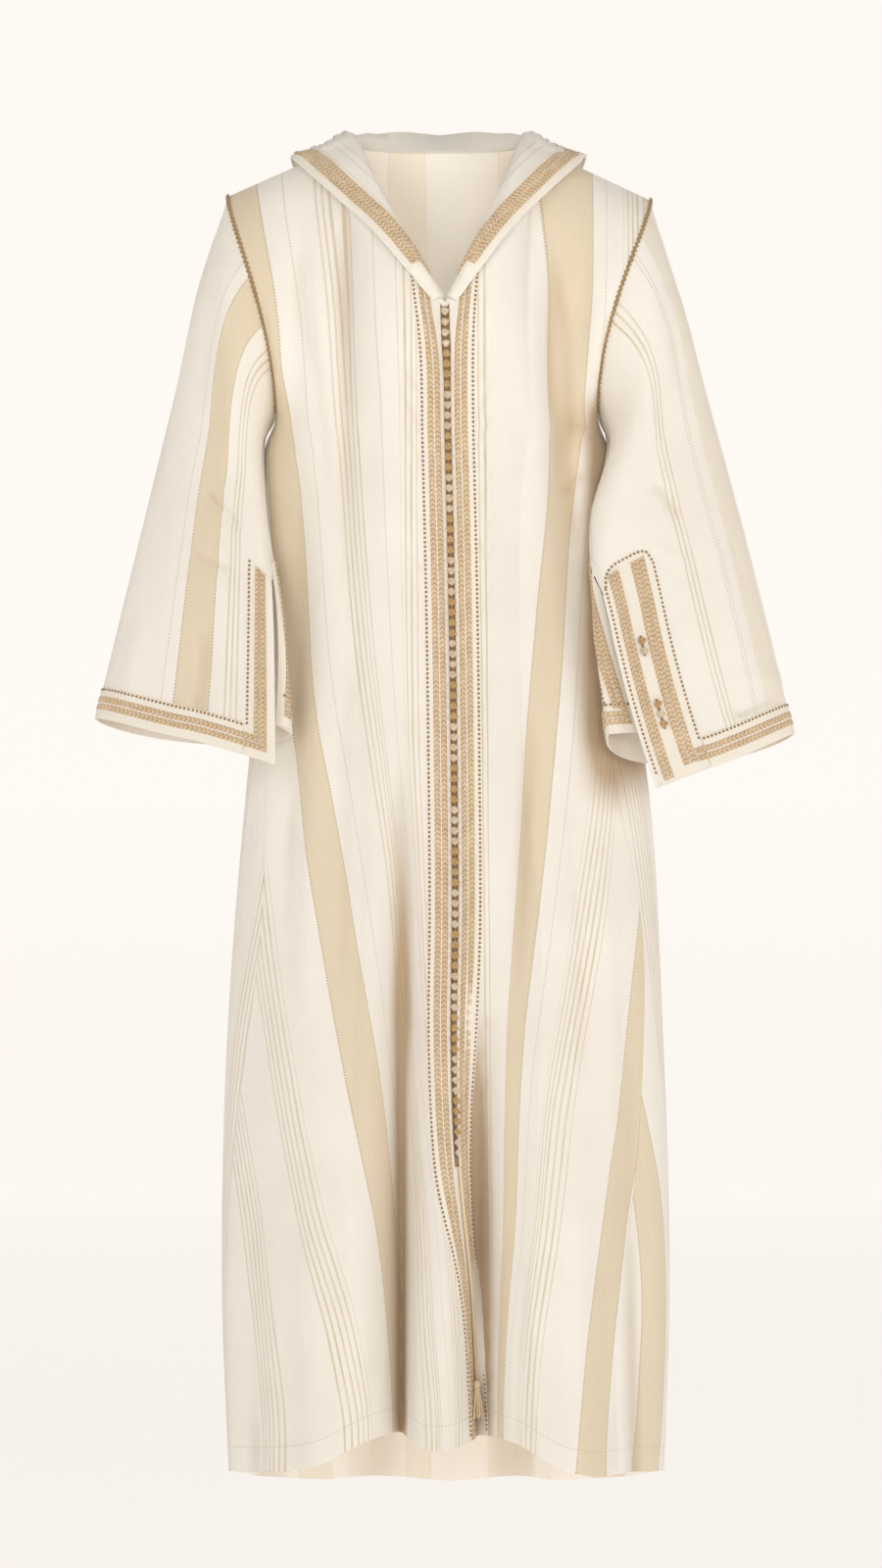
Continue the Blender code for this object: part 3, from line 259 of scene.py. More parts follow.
# woven stripes of each panel: where they start and end across its cloth. Beige is a broad
# stripe edged with gold threads, faint a pale one, pins is a group of fine gold lines, and
# dotted is one broken gold thread
STRIPES = {
    "front_left": {"pins": ((0.035, 0.054), (0.095, 0.130), (0.266, 0.303), (0.352, 0.388)),
                   "beige": ((0.180, 0.219),), "dotted": (0.072, 0.156)},
    "front_right": {"pins": ((0.032, 0.047), (0.170, 0.208), (0.340, 0.378)),
                    "beige": ((0.093, 0.127), (0.254, 0.295)), "dotted": (0.146,)},
    "back": {"pins": ((0.367, 0.404), (0.198, 0.235), (0.112, 0.150), (0.648, 0.685), (0.812, 0.850)),
             "beige": ((0.445, 0.485), (0.565, 0.605), (0.283, 0.322), (0.730, 0.770), (0.895, 0.935))},
    "sleeve_left": {"pins": ((0.034, 0.050), (0.205, 0.240)),
                    "beige": ((0.066, 0.104), (0.285, 0.322)), "dotted": (0.118,)},
    "sleeve_right": {"pins": ((0.084, 0.104), (0.205, 0.240)), "faint": ((0.152, 0.184),),
                     "beige": ((0.285, 0.322),), "dotted": (0.133, 0.137)},
    "hood": {"dotted": (0.042, 0.051)},
}
GOLD_THREAD = 0.0008        # half the width of a single gold thread, and the length of its dashes
DASHES = 0.0036
PIN_PITCH = 0.0064
WANDER = 0.0035             # how far the stripes wander
WEAVE_U, WEAVE_V = 0.0011, 0.0013
# threads of the fronts, seen from the front: the place of a thread in the cloth, and the points
# (x, z) that it passes from the shoulder down to the hem
Thread = namedtuple("Thread", "panel place points")
THREADS = (
    Thread("front_left", 0.045, ((-0.037, -0.16), (-0.037, -0.43), (-0.035, -0.64), (-0.027, -0.79),
                                 (-0.021, -0.89), (-0.008, -1.04), (0.003, -1.15), (0.014, -1.31))),
    Thread("front_left", 0.112, ((-0.123, -0.05), (-0.110, -0.16), (-0.092, -0.43), (-0.080, -0.55),
                                 (-0.063, -0.67), (-0.051, -0.76), (-0.040, -0.89), (-0.029, -1.04),
                                 (-0.018, -1.15), (-0.015, -1.25), (-0.006, -1.35))),
    Thread("front_left", 0.200, ((-0.222, -0.05), (-0.199, -0.16), (-0.178, -0.26), (-0.160, -0.43),
                                 (-0.145, -0.64), (-0.123, -0.76), (-0.100, -0.89), (-0.072, -1.04),
                                 (-0.059, -1.15), (-0.052, -1.25), (-0.046, -1.35))),
    Thread("front_left", 0.285, ((-0.307, -0.05), (-0.284, -0.16), (-0.245, -0.43), (-0.225, -0.64),
                                 (-0.208, -0.76), (-0.190, -0.89), (-0.165, -1.04), (-0.142, -1.15),
                                 (-0.109, -1.25), (-0.089, -1.35))),
    Thread("front_left", 0.370, ((-0.363, -0.16), (-0.330, -0.43), (-0.310, -0.64), (-0.265, -0.89),
                                 (-0.219, -1.04), (-0.200, -1.15), (-0.191, -1.25), (-0.181, -1.35))),
    Thread("front_right", 0.040, ((0.042, -0.16), (0.044, -0.47), (0.048, -0.79), (0.050, -1.00),
                                  (0.052, -1.15), (0.050, -1.35))),
    Thread("front_right", 0.110, ((0.147, -0.16), (0.134, -0.26), (0.122, -0.43), (0.102, -0.64),
                                  (0.095, -0.74), (0.080, -0.87), (0.066, -1.02), (0.060, -1.15),
                                  (0.056, -1.25), (0.054, -1.35))),
    Thread("front_right", 0.189, ((0.208, -0.16), (0.189, -0.43), (0.171, -0.71), (0.146, -0.87),
                                  (0.116, -1.02), (0.104, -1.15), (0.089, -1.25), (0.074, -1.35))),
    Thread("front_right", 0.254, ((0.290, -0.16), (0.258, -0.43), (0.234, -0.58), (0.213, -0.79),
                                  (0.197, -0.93), (0.188, -1.02), (0.173, -1.12), (0.153, -1.27),
                                  (0.140, -1.42))),
)
BACK_CENTRE = 0.50          # place of the centre back among the back's stripes
SLEEVE_ROUND = 0.40         # nominal way round a sleeve, to place its stripes

# creases of each side of a piece, seen from the front: soft troughs (depth > 0) and ridges
# from one point to another, and how far the middle bows sideways
Crease = namedtuple("Crease", "x0 z0 x1 z1 width depth bow")
CREASES = {
    ("front_left", "front"): (
        Crease(-0.150, -0.06, -0.120, -0.40, 0.010, 0.0040, 0.006),
        Crease(-0.176, -0.08, -0.168, -0.27, 0.009, -0.0035, 0.004),
        Crease(-0.070, -0.17, -0.060, -0.46, 0.012, -0.0030, -0.004),
        Crease(-0.092, -0.50, -0.105, -0.92, 0.014, 0.0030, 0.006),
        Crease(-0.140, -0.55, -0.150, -0.95, 0.013, -0.0030, -0.006),
        Crease(-0.045, -0.62, -0.036, -0.98, 0.012, 0.0026, 0.003),
        Crease(-0.188, -0.95, -0.200, -1.40, 0.016, -0.0040, 0.004),
        Crease(-0.105, -1.05, -0.098, -1.44, 0.018, -0.0045, -0.006),
        Crease(-0.160, -1.12, -0.158, -1.44, 0.014, 0.0034, 0.004),
        Crease(-0.018, -1.05, -0.022, -1.44, 0.009, -0.0026, 0.002),
        Crease(-0.150, -0.36, -0.128, -0.385, 0.007, 0.0022, 0.004),
        Crease(-0.165, -0.335, -0.120, -0.350, 0.006, -0.0018, -0.003),
    ),
    ("front_right", "front"): (
        Crease(0.118, -0.09, 0.140, -0.45, 0.010, 0.0045, -0.006),
        Crease(0.160, -0.09, 0.158, -0.26, 0.010, -0.0035, -0.005),
        Crease(0.066, -0.18, 0.074, -0.52, 0.012, -0.0030, 0.004),
        Crease(0.100, -0.52, 0.090, -0.95, 0.014, -0.0034, -0.006),
        Crease(0.135, -0.62, 0.150, -1.02, 0.015, 0.0032, 0.006),
        Crease(0.172, -0.70, 0.185, -1.10, 0.013, -0.0030, 0.004),
        Crease(0.078, -1.02, 0.086, -1.44, 0.014, 0.0036, 0.004),
        Crease(0.128, -1.05, 0.138, -1.44, 0.017, -0.0046, -0.005),
        Crease(0.178, -1.15, 0.184, -1.44, 0.015, 0.0036, 0.003),
        Crease(0.125, -0.37, 0.150, -0.35, 0.006, 0.0020, 0.004),
    ),
    ("back", "back"): (
        Crease(-0.150, -0.12, -0.120, -0.48, 0.011, 0.0040, 0.008),
        Crease(0.140, -0.10, 0.128, -0.44, 0.010, 0.0042, -0.006),
        Crease(-0.020, -0.42, -0.030, -0.80, 0.014, -0.0040, 0.005),
        Crease(0.045, -0.46, 0.050, -0.86, 0.013, 0.0034, -0.006),
        Crease(-0.120, -0.56, -0.135, -1.02, 0.015, 0.0036, 0.008),
        Crease(0.105, -0.62, 0.120, -1.05, 0.015, -0.0038, -0.006),
        Crease(-0.180, -0.80, -0.190, -1.30, 0.016, -0.0040, 0.006),
        Crease(0.178, -0.85, 0.195, -1.38, 0.016, 0.0036, -0.004),
        Crease(-0.075, -1.00, -0.088, -1.44, 0.015, 0.0040, -0.004),
        Crease(0.080, -1.05, 0.092, -1.44, 0.014, -0.0040, 0.005),
        Crease(-0.165, -0.34, -0.130, -0.37, 0.007, 0.0024, 0.004),
        Crease(0.120, -0.36, 0.155, -0.33, 0.007, -0.0022, 0.003),
    ),
    ("sleeve_left", "front"): (
        Crease(-0.252, -0.36, -0.212, -0.41, 0.006, 0.0030, 0.004),
        Crease(-0.246, -0.385, -0.206, -0.43, 0.005, -0.0026, -0.003),
        Crease(-0.270, -0.43, -0.222, -0.455, 0.006, 0.0024, 0.003),
        Crease(-0.215, -0.20, -0.228, -0.34, 0.009, -0.0034, 0.004),
        Crease(-0.245, -0.12, -0.262, -0.28, 0.009, 0.0026, -0.003),
        Crease(-0.318, -0.50, -0.340, -0.62, 0.010, -0.0026, 0.003),
        Crease(-0.255, -0.50, -0.268, -0.66, 0.010, 0.0030, -0.004),
    ),
    ("sleeve_left", "back"): (
        Crease(-0.262, -0.30, -0.225, -0.36, 0.007, 0.0030, 0.004),
        Crease(-0.290, -0.40, -0.235, -0.45, 0.008, -0.0030, 0.004),
        Crease(-0.300, -0.50, -0.310, -0.64, 0.011, 0.0030, 0.003),
    ),
    ("sleeve_right", "front"): (
        Crease(0.300, -0.605, 0.372, -0.588, 0.005, 0.0034, 0.005),
        Crease(0.306, -0.572, 0.366, -0.566, 0.005, -0.0026, -0.004),
        Crease(0.215, -0.36, 0.255, -0.40, 0.007, 0.0028, -0.004),
        Crease(0.225, -0.42, 0.262, -0.45, 0.006, -0.0024, 0.004),
        Crease(0.205, -0.18, 0.222, -0.33, 0.009, -0.0034, -0.004),
        Crease(0.236, -0.12, 0.262, -0.27, 0.009, 0.0028, 0.003),
        Crease(0.290, -0.40, 0.322, -0.56, 0.012, -0.0028, 0.003),
    ),
    ("sleeve_right", "back"): (
        Crease(0.262, -0.31, 0.225, -0.35, 0.007, 0.0030, 0.004),
        Crease(0.290, -0.42, 0.240, -0.46, 0.008, -0.0030, 0.004),
        Crease(0.305, -0.50, 0.315, -0.64, 0.011, 0.0030, 0.003),
    ),
    ("hood", "front"): (
        Crease(-0.096, 0.020, -0.048, -0.098, 0.006, -0.0022, 0.004),
        Crease(0.088, 0.020, 0.050, -0.098, 0.006, -0.0022, -0.004),
    ),
    ("hood", "back"): (
        Crease(-0.045, -0.10, -0.012, -0.26, 0.010, 0.0040, 0.006),
        Crease(0.052, -0.12, 0.016, -0.30, 0.010, 0.0036, -0.006),
        Crease(0.000, -0.11, 0.004, -0.24, 0.009, -0.0030, 0.004),
    ),
}
# puckers in the cloth beside the front opening's stitches, from one way down the front to another
PUCKER_PITCH = 0.029
PUCKER_DEPTH = 0.0011
PUCKER_PLACE = 0.037
PUCKER_WIDTH = 0.009
PUCKERS_FROM, PUCKERS_TO = 0.14, 1.25

# colours
CREAM = (0.875, 0.835, 0.765)
BEIGE = (0.735, 0.63, 0.465)
PIN = (0.56, 0.43, 0.23)
FACE = (0.86, 0.80, 0.70)
GOLD = (0.36, 0.215, 0.10)
GOLD_LIGHT = (0.88, 0.70, 0.47)
THREAD_DARK = (0.19, 0.11, 0.045)
THREAD = (0.42, 0.265, 0.115)
HEM_THREAD = (0.66, 0.56, 0.40)
KNOT_CREAM = (0.86, 0.76, 0.60)
KNOT_BROWN = (0.40, 0.25, 0.12)
KNOT_GOLD = (0.66, 0.44, 0.19)
KNOT_DARK = (0.30, 0.17, 0.065)
# painted light: the colour and strength of the glow of some inner faces, standing for the light that comes
# through the thin cloth
PAINTED_THROUGH_LIGHT = (1.0, 0.93, 0.82)
PAINTED_THROUGH_GLOW = {"back": 0.19, "sleeve_left": 0.05, "sleeve_right": 0.03, "hood": 0.12}
ROPE_GOLD = (0.50, 0.34, 0.15)
# painted shade: dark brown of the strip in the front's slit behind the knots, and of the knots' cores
OPENING_SHADE = (0.30, 0.19, 0.09)
STUDIO = (0.34, 0.325, 0.31)
STUDIO_GLOW = (0.745, 0.715, 0.69)
# painted light: the paler colour that the cloth's inner faces are lightened toward
INSIDE_PAINTED_LIGHT = (0.95, 0.90, 0.82)
HOLLOW_SHADE = (0.44, 0.29, 0.15)     # painted shade: the warm colour that the cloth darkens toward in its folds
HOLLOW_SHADE_STRENGTH = 0.80
# over how many rows and columns each way a broad and a narrow fold is looked for, the depth at
# which its painted shade is full, and the share of each
HOLLOW_REACHES = {"front": ((9, 13), (3, 4)), "back": ((9, 13), (3, 4)),
                  "sleeve": ((7, 9), (3, 3)), "hood": ((5, 6), (2, 2))}
HOLLOW_DEPTHS = (0.012, 0.0024)
HOLLOW_SHARES = (0.75, 0.30)
SHADE_FROM, SHADE_WIDTH = 0.128, 0.05      # the body beside the sleeves lies in their shade
SHADE_TOP, SHADE_FOOT = -0.24, -0.74
SHADE_STRENGTHS = (0.95, -0.5)             # right and left of the front; the left one, below 0, is painted light that lessens the painted shade of the folds
# the fold beside the opening gets painted shade too
VALLEY_X, VALLEY_WIDTH, VALLEY_TOP, VALLEY_STRENGTH = 0.041, 0.014, -0.92, 0.55
SIDE_PUSH = 0.011           # the side seams swell under the arms, so far
SIDE_PUSH_FROM, SIDE_PUSH_TOP, SIDE_PUSH_FOOT = 0.150, -0.285, -0.52
# cloth that creases leave flat: beside the opening, at the cuffs, and beside the slits under a level
CALM_BESIDE_OPENING, CALM_AT_CUFF, CALM_BESIDE_SLIT, CALM_SLIT_LEVEL = 0.026, 0.01, 0.02, -0.42


# ---------------------------------------------------------------- curves and tables
def ease(x):
    x = np.clip(x, 0.0, 1.0)
    return x * x * (3.0 - 2.0 * x)


def spline(knots, values, at):
    """Smooth curve through the values at rising knots."""
    knots = np.asarray(knots, float)
    values = np.asarray(values, float)
    slopes = np.gradient(values, knots)
    at = np.clip(at, knots[0], knots[-1])
    cell = np.clip(np.searchsorted(knots, at) - 1, 0, len(knots) - 2)
    step = knots[cell + 1] - knots[cell]
    s = (at - knots[cell]) / step
    return ((1 + 2 * s) * (1 - s) ** 2 * values[cell] + s * (1 - s) ** 2 * step * slopes[cell]
            + s * s * (3 - 2 * s) * values[cell + 1] + s * s * (s - 1) * step * slopes[cell + 1])


def column(table, name, at):
    """Value of a named column of a table whose first column rises."""
    return spline([row[0] for row in table], [getattr(row, name) for row in table], at)


def bezier(points, s):
    """Point of a cubic Bezier curve; the last axis of each point holds x, y, z."""
    s = np.asarray(s, float)[..., None]
    p0, p1, p2, p3 = (np.asarray(p, float) for p in points)
    return ((1 - s) ** 3 * p0 + 3 * s * (1 - s) ** 2 * p1
            + 3 * s * s * (1 - s) * p2 + s ** 3 * p3)


def unit(v):
    return v / np.maximum(np.linalg.norm(v, axis=-1, keepdims=True), 1e-12)


def lengths(points):
    """Distance along a line of points from its first one."""
    steps = np.linalg.norm(np.diff(points, axis=0), axis=-1)
    return np.concatenate([[0.0], np.cumsum(steps)])


def reach_across(points):
    """Distance of each point of a grid along its row from the row's first one."""
    steps = np.linalg.norm(np.diff(points, axis=1), axis=-1)
    return np.concatenate([np.zeros((len(points), 1)), np.cumsum(steps, axis=1)], axis=1)


def reach_down(points):
    """Distance of each point of a grid down its column from the column's first one."""
    return reach_across(points.transpose(1, 0, 2)).T


def read_off(at, knots, line):
    """Points or directions of a line at values of its knots."""
    return np.stack([np.interp(at, knots, line[:, axis]) for axis in range(3)], axis=-1)


def along(line, distance):
    """Point of a line at a distance from its first one."""
    return read_off(distance, lengths(line), line)


# ---------------------------------------------------------------- the robe's outer surface
def plan(theta, z):
    """Point of the smooth plan at angle theta from the centre front, + to the right."""
    width = np.where(theta < 0, column(BODY, "left", z), column(BODY, "right", z))
    depth = np.where(np.abs(theta) < math.pi / 2, column(BODY, "front", z), column(BODY, "back", z))
    sine, cosine = np.sin(theta), np.cos(theta)
    x = width * np.sign(sine) * np.abs(sine) ** (2 / SQUARENESS)
    y = -depth * np.sign(cosine) * np.abs(cosine) ** (2 / SQUARENESS)
    return np.stack([x, y, z + 0.0 * theta], axis=-1)


def arc_table():
    """Distance round a plan of width 1 from the centre front to the centre back."""
    angles = np.linspace(0.0, math.pi, 721)
    sine, cosine = np.sin(angles), np.cos(angles)
    points = np.stack([np.abs(sine) ** (2 / SQUARENESS),
                       -PLAN_ASPECT * np.sign(cosine) * np.abs(cosine) ** (2 / SQUARENESS)], axis=-1)
    return angles, lengths(points)


ARC_ANGLES, ARC_LENGTHS = arc_table()


def places(theta, z):
    """Distances round the plan from the centre front and from the centre back, + to the right."""
    width = np.where(theta < 0, column(BODY, "left", z), column(BODY, "right", z))
    arc = np.interp(np.abs(theta), ARC_ANGLES, ARC_LENGTHS)
    return np.sign(theta) * width * arc, np.sign(theta) * width * (ARC_LENGTHS[-1] - arc)


def fold_shift(theta, z):
    """How far the folds move the cloth inward, and sideways along it."""
    inward = np.zeros_like(theta)
    sideways = np.zeros_like(theta)
    for place, folds in zip(places(theta, z), FOLDS.values()):
        for fold in folds:
            down = np.clip((fold.z_top - z) / (fold.z_top - fold.z_end), 0.0, 1.0)
            centre = fold.x_top + (fold.x_end - fold.x_top) * down
            size = fold.depth * ease((fold.z_top - z) / (fold.z_top - fold.z_deep))
            if fold.z_end > TO_HEM:
                size = size * (1.0 - ease((fold.z_deep - z) / (fold.z_deep - fold.z_end)))
            off = (place - centre) / fold.width
            bell = np.exp(-off * off)
            inward += size * bell
            sideways -= fold.pinch * size * off * bell
    return inward, sideways


def plan_axes(theta, z):
    """Unit vectors along the plan and into the robe."""
    step = 0.01
    ahead = plan(theta + step, z) - plan(theta - step, z)
    ahead[..., 2] = 0.0
    ahead = unit(ahead)
    inward = np.stack([-ahead[..., 1], ahead[..., 0], np.zeros_like(ahead[..., 0])], axis=-1)
    return ahead, inward


def surface(theta, z):
    """Point of the folded robe."""
    ahead, inward = plan_axes(theta, z)
    depth, slide = fold_shift(theta, z)
    return plan(theta, z) + inward * depth[..., None] + ahead * slide[..., None]


def seam_angle(name, z):
    """Angle of the left, centre or right seam at a level."""
    x = column(SEAMS, name, z)
    side = "left" if name == "left" else "right"
    sign = -1.0 if name == "left" else 1.0
    share = np.clip(x / column(BODY, side, z), 0.0, 1.0)
    return sign * np.arcsin(share ** (SQUARENESS / 2))


def hem_level(theta):
    return column(HEM, "z", np.degrees(theta))


def grid_normals(points):
    """Outward unit normals of a grid: each the middle of those of the cells it touches."""
    cells = unit(np.cross(points[1:, 1:] - points[:-1, :-1], points[:-1, 1:] - points[1:, :-1]))
    normals = np.zeros_like(points)
    for rows in (slice(None, -1), slice(1, None)):
        for columns in (slice(None, -1), slice(1, None)):
            normals[rows, columns] += cells
    return unit(normals)


def top_line(side, face):
    """The neckline and shoulder seam of half a panel, from its centre out to the tip."""
    s = np.linspace(0.0, 1.0, 41)
    if face == "front":
        neck = bezier((V_POINT, side.v_handle, side.neck_handle, side.neck), s)
    else:
        first = (NECK_BACK[0] + 0.5 * (side.neck[0] - NECK_BACK[0]), NECK_BACK[1], NECK_BACK[2])
        neck = bezier((NECK_BACK, first, side.back_handle, side.neck), s)
    return neck, np.linspace(side.neck, side.tip, 21)


def crease_shift(points, name, facing):
    """How far outward the creases move the points of one side of a panel."""
    shift = np.zeros(points.shape[:2])
    for crease in CREASES.get((name, facing), ()):
        start = np.array([crease.x0, crease.z0])
        run = np.array([crease.x1, crease.z1]) - start
        size = np.linalg.norm(run)
        place = points[..., [0, 2]] - start
        down = place @ run / size ** 2
        inside = np.clip(down, 0.0, 1.0)
        aside = (place[..., 0] * run[1] - place[..., 1] * run[0]) / size
        aside = aside - crease.bow * np.sin(math.pi * inside) * (1 + 0.5 * np.sin(7 * inside))
        beyond = np.maximum(np.abs(down - 0.5) - 0.5, 0.0) * size
        off = (aside ** 2 + beyond ** 2) / crease.width ** 2
        ends = ease(inside / 0.25) * ease((1 - inside) / 0.18) * 0.8 + 0.2
        shift -= crease.depth * np.exp(-off) * ends
    return shift


def column_angles(start, end, level, face, count):
    """Angles of one row's columns, close together where the cloth folds, and their distances
    along the folded cloth from the first."""
    dense = start + (end - start) * np.linspace(0.0, 1.0, DENSE)
    z = level(dense)
    reach = lengths(surface(dense, z))
    place = places(dense, z)[0 if face == "front" else 1]
    place = np.abs(place - place[0])
    both = reach / reach[-1] + place / place[-1]
    shares = np.interp(np.linspace(0.0, both[-1], count + 1), both, np.linspace(0.0, 1.0, DENSE))
    angles = start + (end - start) * shares
    return angles, np.interp(shares, np.linspace(0.0, 1.0, DENSE), reach)


def half_panel(side_name, face, count):
    """Grid of half the front or back: rows from the shoulder down, columns from the centre out."""
    side = SHOULDERS[side_name]
    side_z = np.full(1, CHEST_Z)

    def span(z):
        """Angles of the half's centre and side edge."""
        if face == "front":
            return seam_angle("centre", z), seam_angle(side_name, z)
        return np.full_like(z, side.side * math.pi), seam_angle(side_name, z)

    start, end = (angle[0] for angle in span(side_z))
    chest, across = column_angles(start, end, lambda dense: np.full_like(dense, CHEST_Z), face, count)

    # the top line, met by each column at the same share of its width as at the chest
    neck, shoulder = top_line(side, face)
    share = across / across[-1]
    straight = neck[0, 0] + (side.tip[0] - neck[0, 0]) * share
    corner = int(np.argmin(np.abs(straight - side.neck[0])))
    x = np.where(np.arange(len(share)) <= corner,
                 neck[0, 0] + (side.neck[0] - neck[0, 0]) * share / share[corner],
                 side.neck[0] + (side.tip[0] - side.neck[0]) * (share - share[corner])
                 / (1 - share[corner]))
    line = np.concatenate([neck, shoulder[1:]])
    order = np.argsort(line[:, 0])
    top = np.stack([x] + [np.interp(x, line[order, 0], line[order, axis]) for axis in (1, 2)], axis=-1)

    # columns of the yoke: from the top line over the shoulder and down to the chest
    forward = -1.0 if face == "front" else 1.0
    from_neck = np.clip((x - neck[0, 0]) / (side.neck[0] - neck[0, 0]), 0.0, 1.0)[:, None]
    at_centre = np.array([0.0, 0.18 * forward, -1.0])
    at_shoulder = np.array([0.0, forward, -0.45])
    leave = unit(at_centre + (at_shoulder - at_centre) * from_neck ** 1.4) * (0.05 + 0.028 * from_neck)
    foot = plan(chest, np.full_like(chest, CHEST_Z))
    rise = unit(foot - plan(chest, np.full_like(chest, CHEST_Z - 0.02)))
    toward_arm = ease((share[:, None] - 0.7) / 0.3)
    arrive = rise * 0.10 + toward_arm * np.array([0.0, 0.078 * forward, 0.0])
    rows = []
    ahead, inward = plan_axes(chest, np.full_like(chest, CHEST_Z))
    for s in np.linspace(0.0, 1.0, YOKE_ROWS + 1):
        base = bezier((top, top + leave, foot + arrive, foot), np.full(len(x), s))
        depth, slide = fold_shift(chest, base[:, 2])
        calm = ease(s / 0.45) * (1.0 - (1.0 - s) * toward_arm[:, 0])
        rows.append(base + inward * (depth * calm)[:, None] + ahead * (slide * calm)[:, None])

    for s in np.linspace(0.0, 1.0, BODY_ROWS + 1)[1:]:
        level = lambda dense, s=s: CHEST_Z + (hem_level(dense) - CHEST_Z) * s
        start, end = (angle[0] for angle in span(np.full(1, CHEST_Z + (TO_HEM + 0.03 - CHEST_Z) * s)))
        angles = column_angles(start, end, level, face, count)[0]
        rows.append(surface(angles, level(angles)))
    return np.array(rows)


def draw_in(points, edges, distance=GAP / 2):
    """Move a grid's edges in by half the gap between sewn pieces."""
    moved = points.copy()
    for edge in edges:
        first, second = {"first_column": ((slice(None), 0), (slice(None), 1)),
                         "last_column": ((slice(None), -1), (slice(None), -2)),
                         "first_row": ((0,), (1,)),
                         "last_row": ((-1,), (-2,))}[edge]
        moved[first] += unit(points[second] - points[first]) * distance
    return moved


# ---------------------------------------------------------------- sleeves
def sleeve_axes(name, at):
    """Middle of a sleeve's section, half its width as a vector, and the way to its front."""
    table = SLEEVES[name]
    outer = np.array([column(table, "outer_" + axis, at) for axis in "xyz"])
    inner = np.array([column(table, "inner_" + axis, at) for axis in "xyz"])
    half = (inner - outer) / 2
    side = SHOULDERS[name].side
    toward_front = unit(np.cross(half, np.array([0.0, side * 0.35, side * 1.0])))
    return (outer + inner) / 2, half, toward_front * np.sign(-toward_front[1])


def sleeve_ring(name, at, psi):
    """Point of a sleeve's section, psi from its inner edge round the front to the outer edge."""
    table = SLEEVES[name]
    middle, half, toward_front = sleeve_axes(name, at)
    sine, cosine = np.sin(psi), np.cos(psi)
    power = 2 / SQUARENESS
    swell = np.sign(sine) * np.abs(sine) ** power * np.where(psi > 2 * math.pi, UNDERLAP, 1.0)
    reach = np.sign(cosine) * np.abs(cosine) ** power
    depth = column(table, "half_depth", at)
    ring = middle + half * reach[:, None] + toward_front * (depth * swell)[:, None]
    front_share = np.where(psi <= math.pi, 1.0, np.clip((2 * math.pi - psi) / math.pi, 0.0, 1.0))
    ring[:, 2] -= column(table, "drop", at) * (1 + cosine) / 2 * front_share
    return ring


def sleeve_grid(name, armhole, sections=61, dense=481):
    """Grid of a sleeve: rows from armhole to cuff, columns from the slit's front edge round
    the front, the outer edge and the back to the slit's back edge. Also each column's share
    of the way round, and each point's distance from the cuff."""
    table = SLEEVES[name]
    count = len(armhole) - 1
    slit = SLITS[name]
    front_marks = [0.0] + [mark for pair in slit.front_bands for mark in pair] + [slit.stitch]
    back_marks = [slit.back_band[1], slit.back_band[0], 0.0]
    fold = count // 2
    columns = []
    distances = []
    steps = np.linspace(0.0, 1.0, sections)
    for at in steps:
        turn_front = column(table, "front_turn", at)
        turn_back = column(table, "back_turn", at)
        psi = np.linspace(turn_front, 2 * math.pi + turn_back, dense)
        reach = lengths(sleeve_ring(name, at, psi))
        total = reach[-1]
        outer = np.interp(math.pi, psi, reach)
        forward = np.linspace(front_marks[-1], outer, fold - len(front_marks) + 2)
        behind = np.linspace(outer, total - back_marks[0], fold - len(back_marks) + 2)
        wanted = np.concatenate([front_marks[:-1], forward, behind[1:], total - np.array(back_marks[1:])])
        open_share = ease((at - SLIT_OPENS) / 0.25)
        from_edge = np.clip(1.0 - wanted / SLIT_FLARE_WIDTH, 0.0, 1.0)
        flare = sleeve_axes(name, at)[2] * (SLIT_FLARE * open_share * from_edge ** 2)[:, None]
        columns.append(sleeve_ring(name, at, np.interp(wanted, reach, psi)) + flare)
        distances.append(wanted / total)
    tube = np.array(columns)
    fade = (1.0 - ease(steps / 0.45))[:, None, None]
    tube = tube + (armhole - tube[0]) * fade

    cuff_marks = [0.0] + [mark for band in CUFF_BANDS for mark in band]
    points = []
    downs = []
    for k in range(count + 1):
        reach = lengths(tube[:, k])
        even = np.linspace(0.0, reach[-1] - CUFF_STITCH, SLEEVE_ROWS + 1)
        wanted = np.concatenate([even, reach[-1] - np.array(sorted(cuff_marks, reverse=True))])
        points.append(read_off(wanted, reach, tube[:, k]))
        downs.append(reach[-1] - wanted)
    grid = np.array(points).transpose(1, 0, 2)
    share = np.array(distances[0])
    return grid, np.broadcast_to(share, grid.shape[:2]), np.array(downs).T


# ---------------------------------------------------------------- hood
def neckline(side_name, shares):
    """Half the neckline, from the V up to the shoulder and round to the centre back."""
    side = SHOULDERS[side_name]
    front = top_line(side, "front")[0]
    back = top_line(side, "back")[0][::-1]
    line = np.concatenate([front, back[1:]])
    reach = lengths(line) / lengths(line)[-1]
    return read_off(shares, reach, line)


def hood_frame(side_name, shares):
    """Unit vectors out from the neck opening, over the cloth beside it, and away from it."""
    line = neckline(side_name, shares)
    sign = SHOULDERS[side_name].side
    radial = (line - np.array(NECK_CENTRE)) * np.array([1.0, 1.0, 0.0])
    along_front = np.broadcast_to(unit(np.array([sign * 1.0, -0.05, -0.42])), line.shape)
    along_back = unit(radial)
    to_shoulder = ease((shares - 0.42) / 0.20)[:, None]
    flat = unit(along_front * np.array([1.0, 1.0, 0.25]))
    outward = unit(along_front * (1 - to_shoulder) + flat * to_shoulder)
    to_back = ease((shares - 0.54) / 0.30)[:, None]
    outward = unit(outward * (1 - to_back) + along_back * to_back)
    up_front = np.broadcast_to(unit(np.array([0.0, -1.0, 0.30])), line.shape)
    up = unit(up_front * (1 - to_shoulder) + np.array([0.0, 0.0, 1.0]) * to_shoulder)
    return line, outward, up


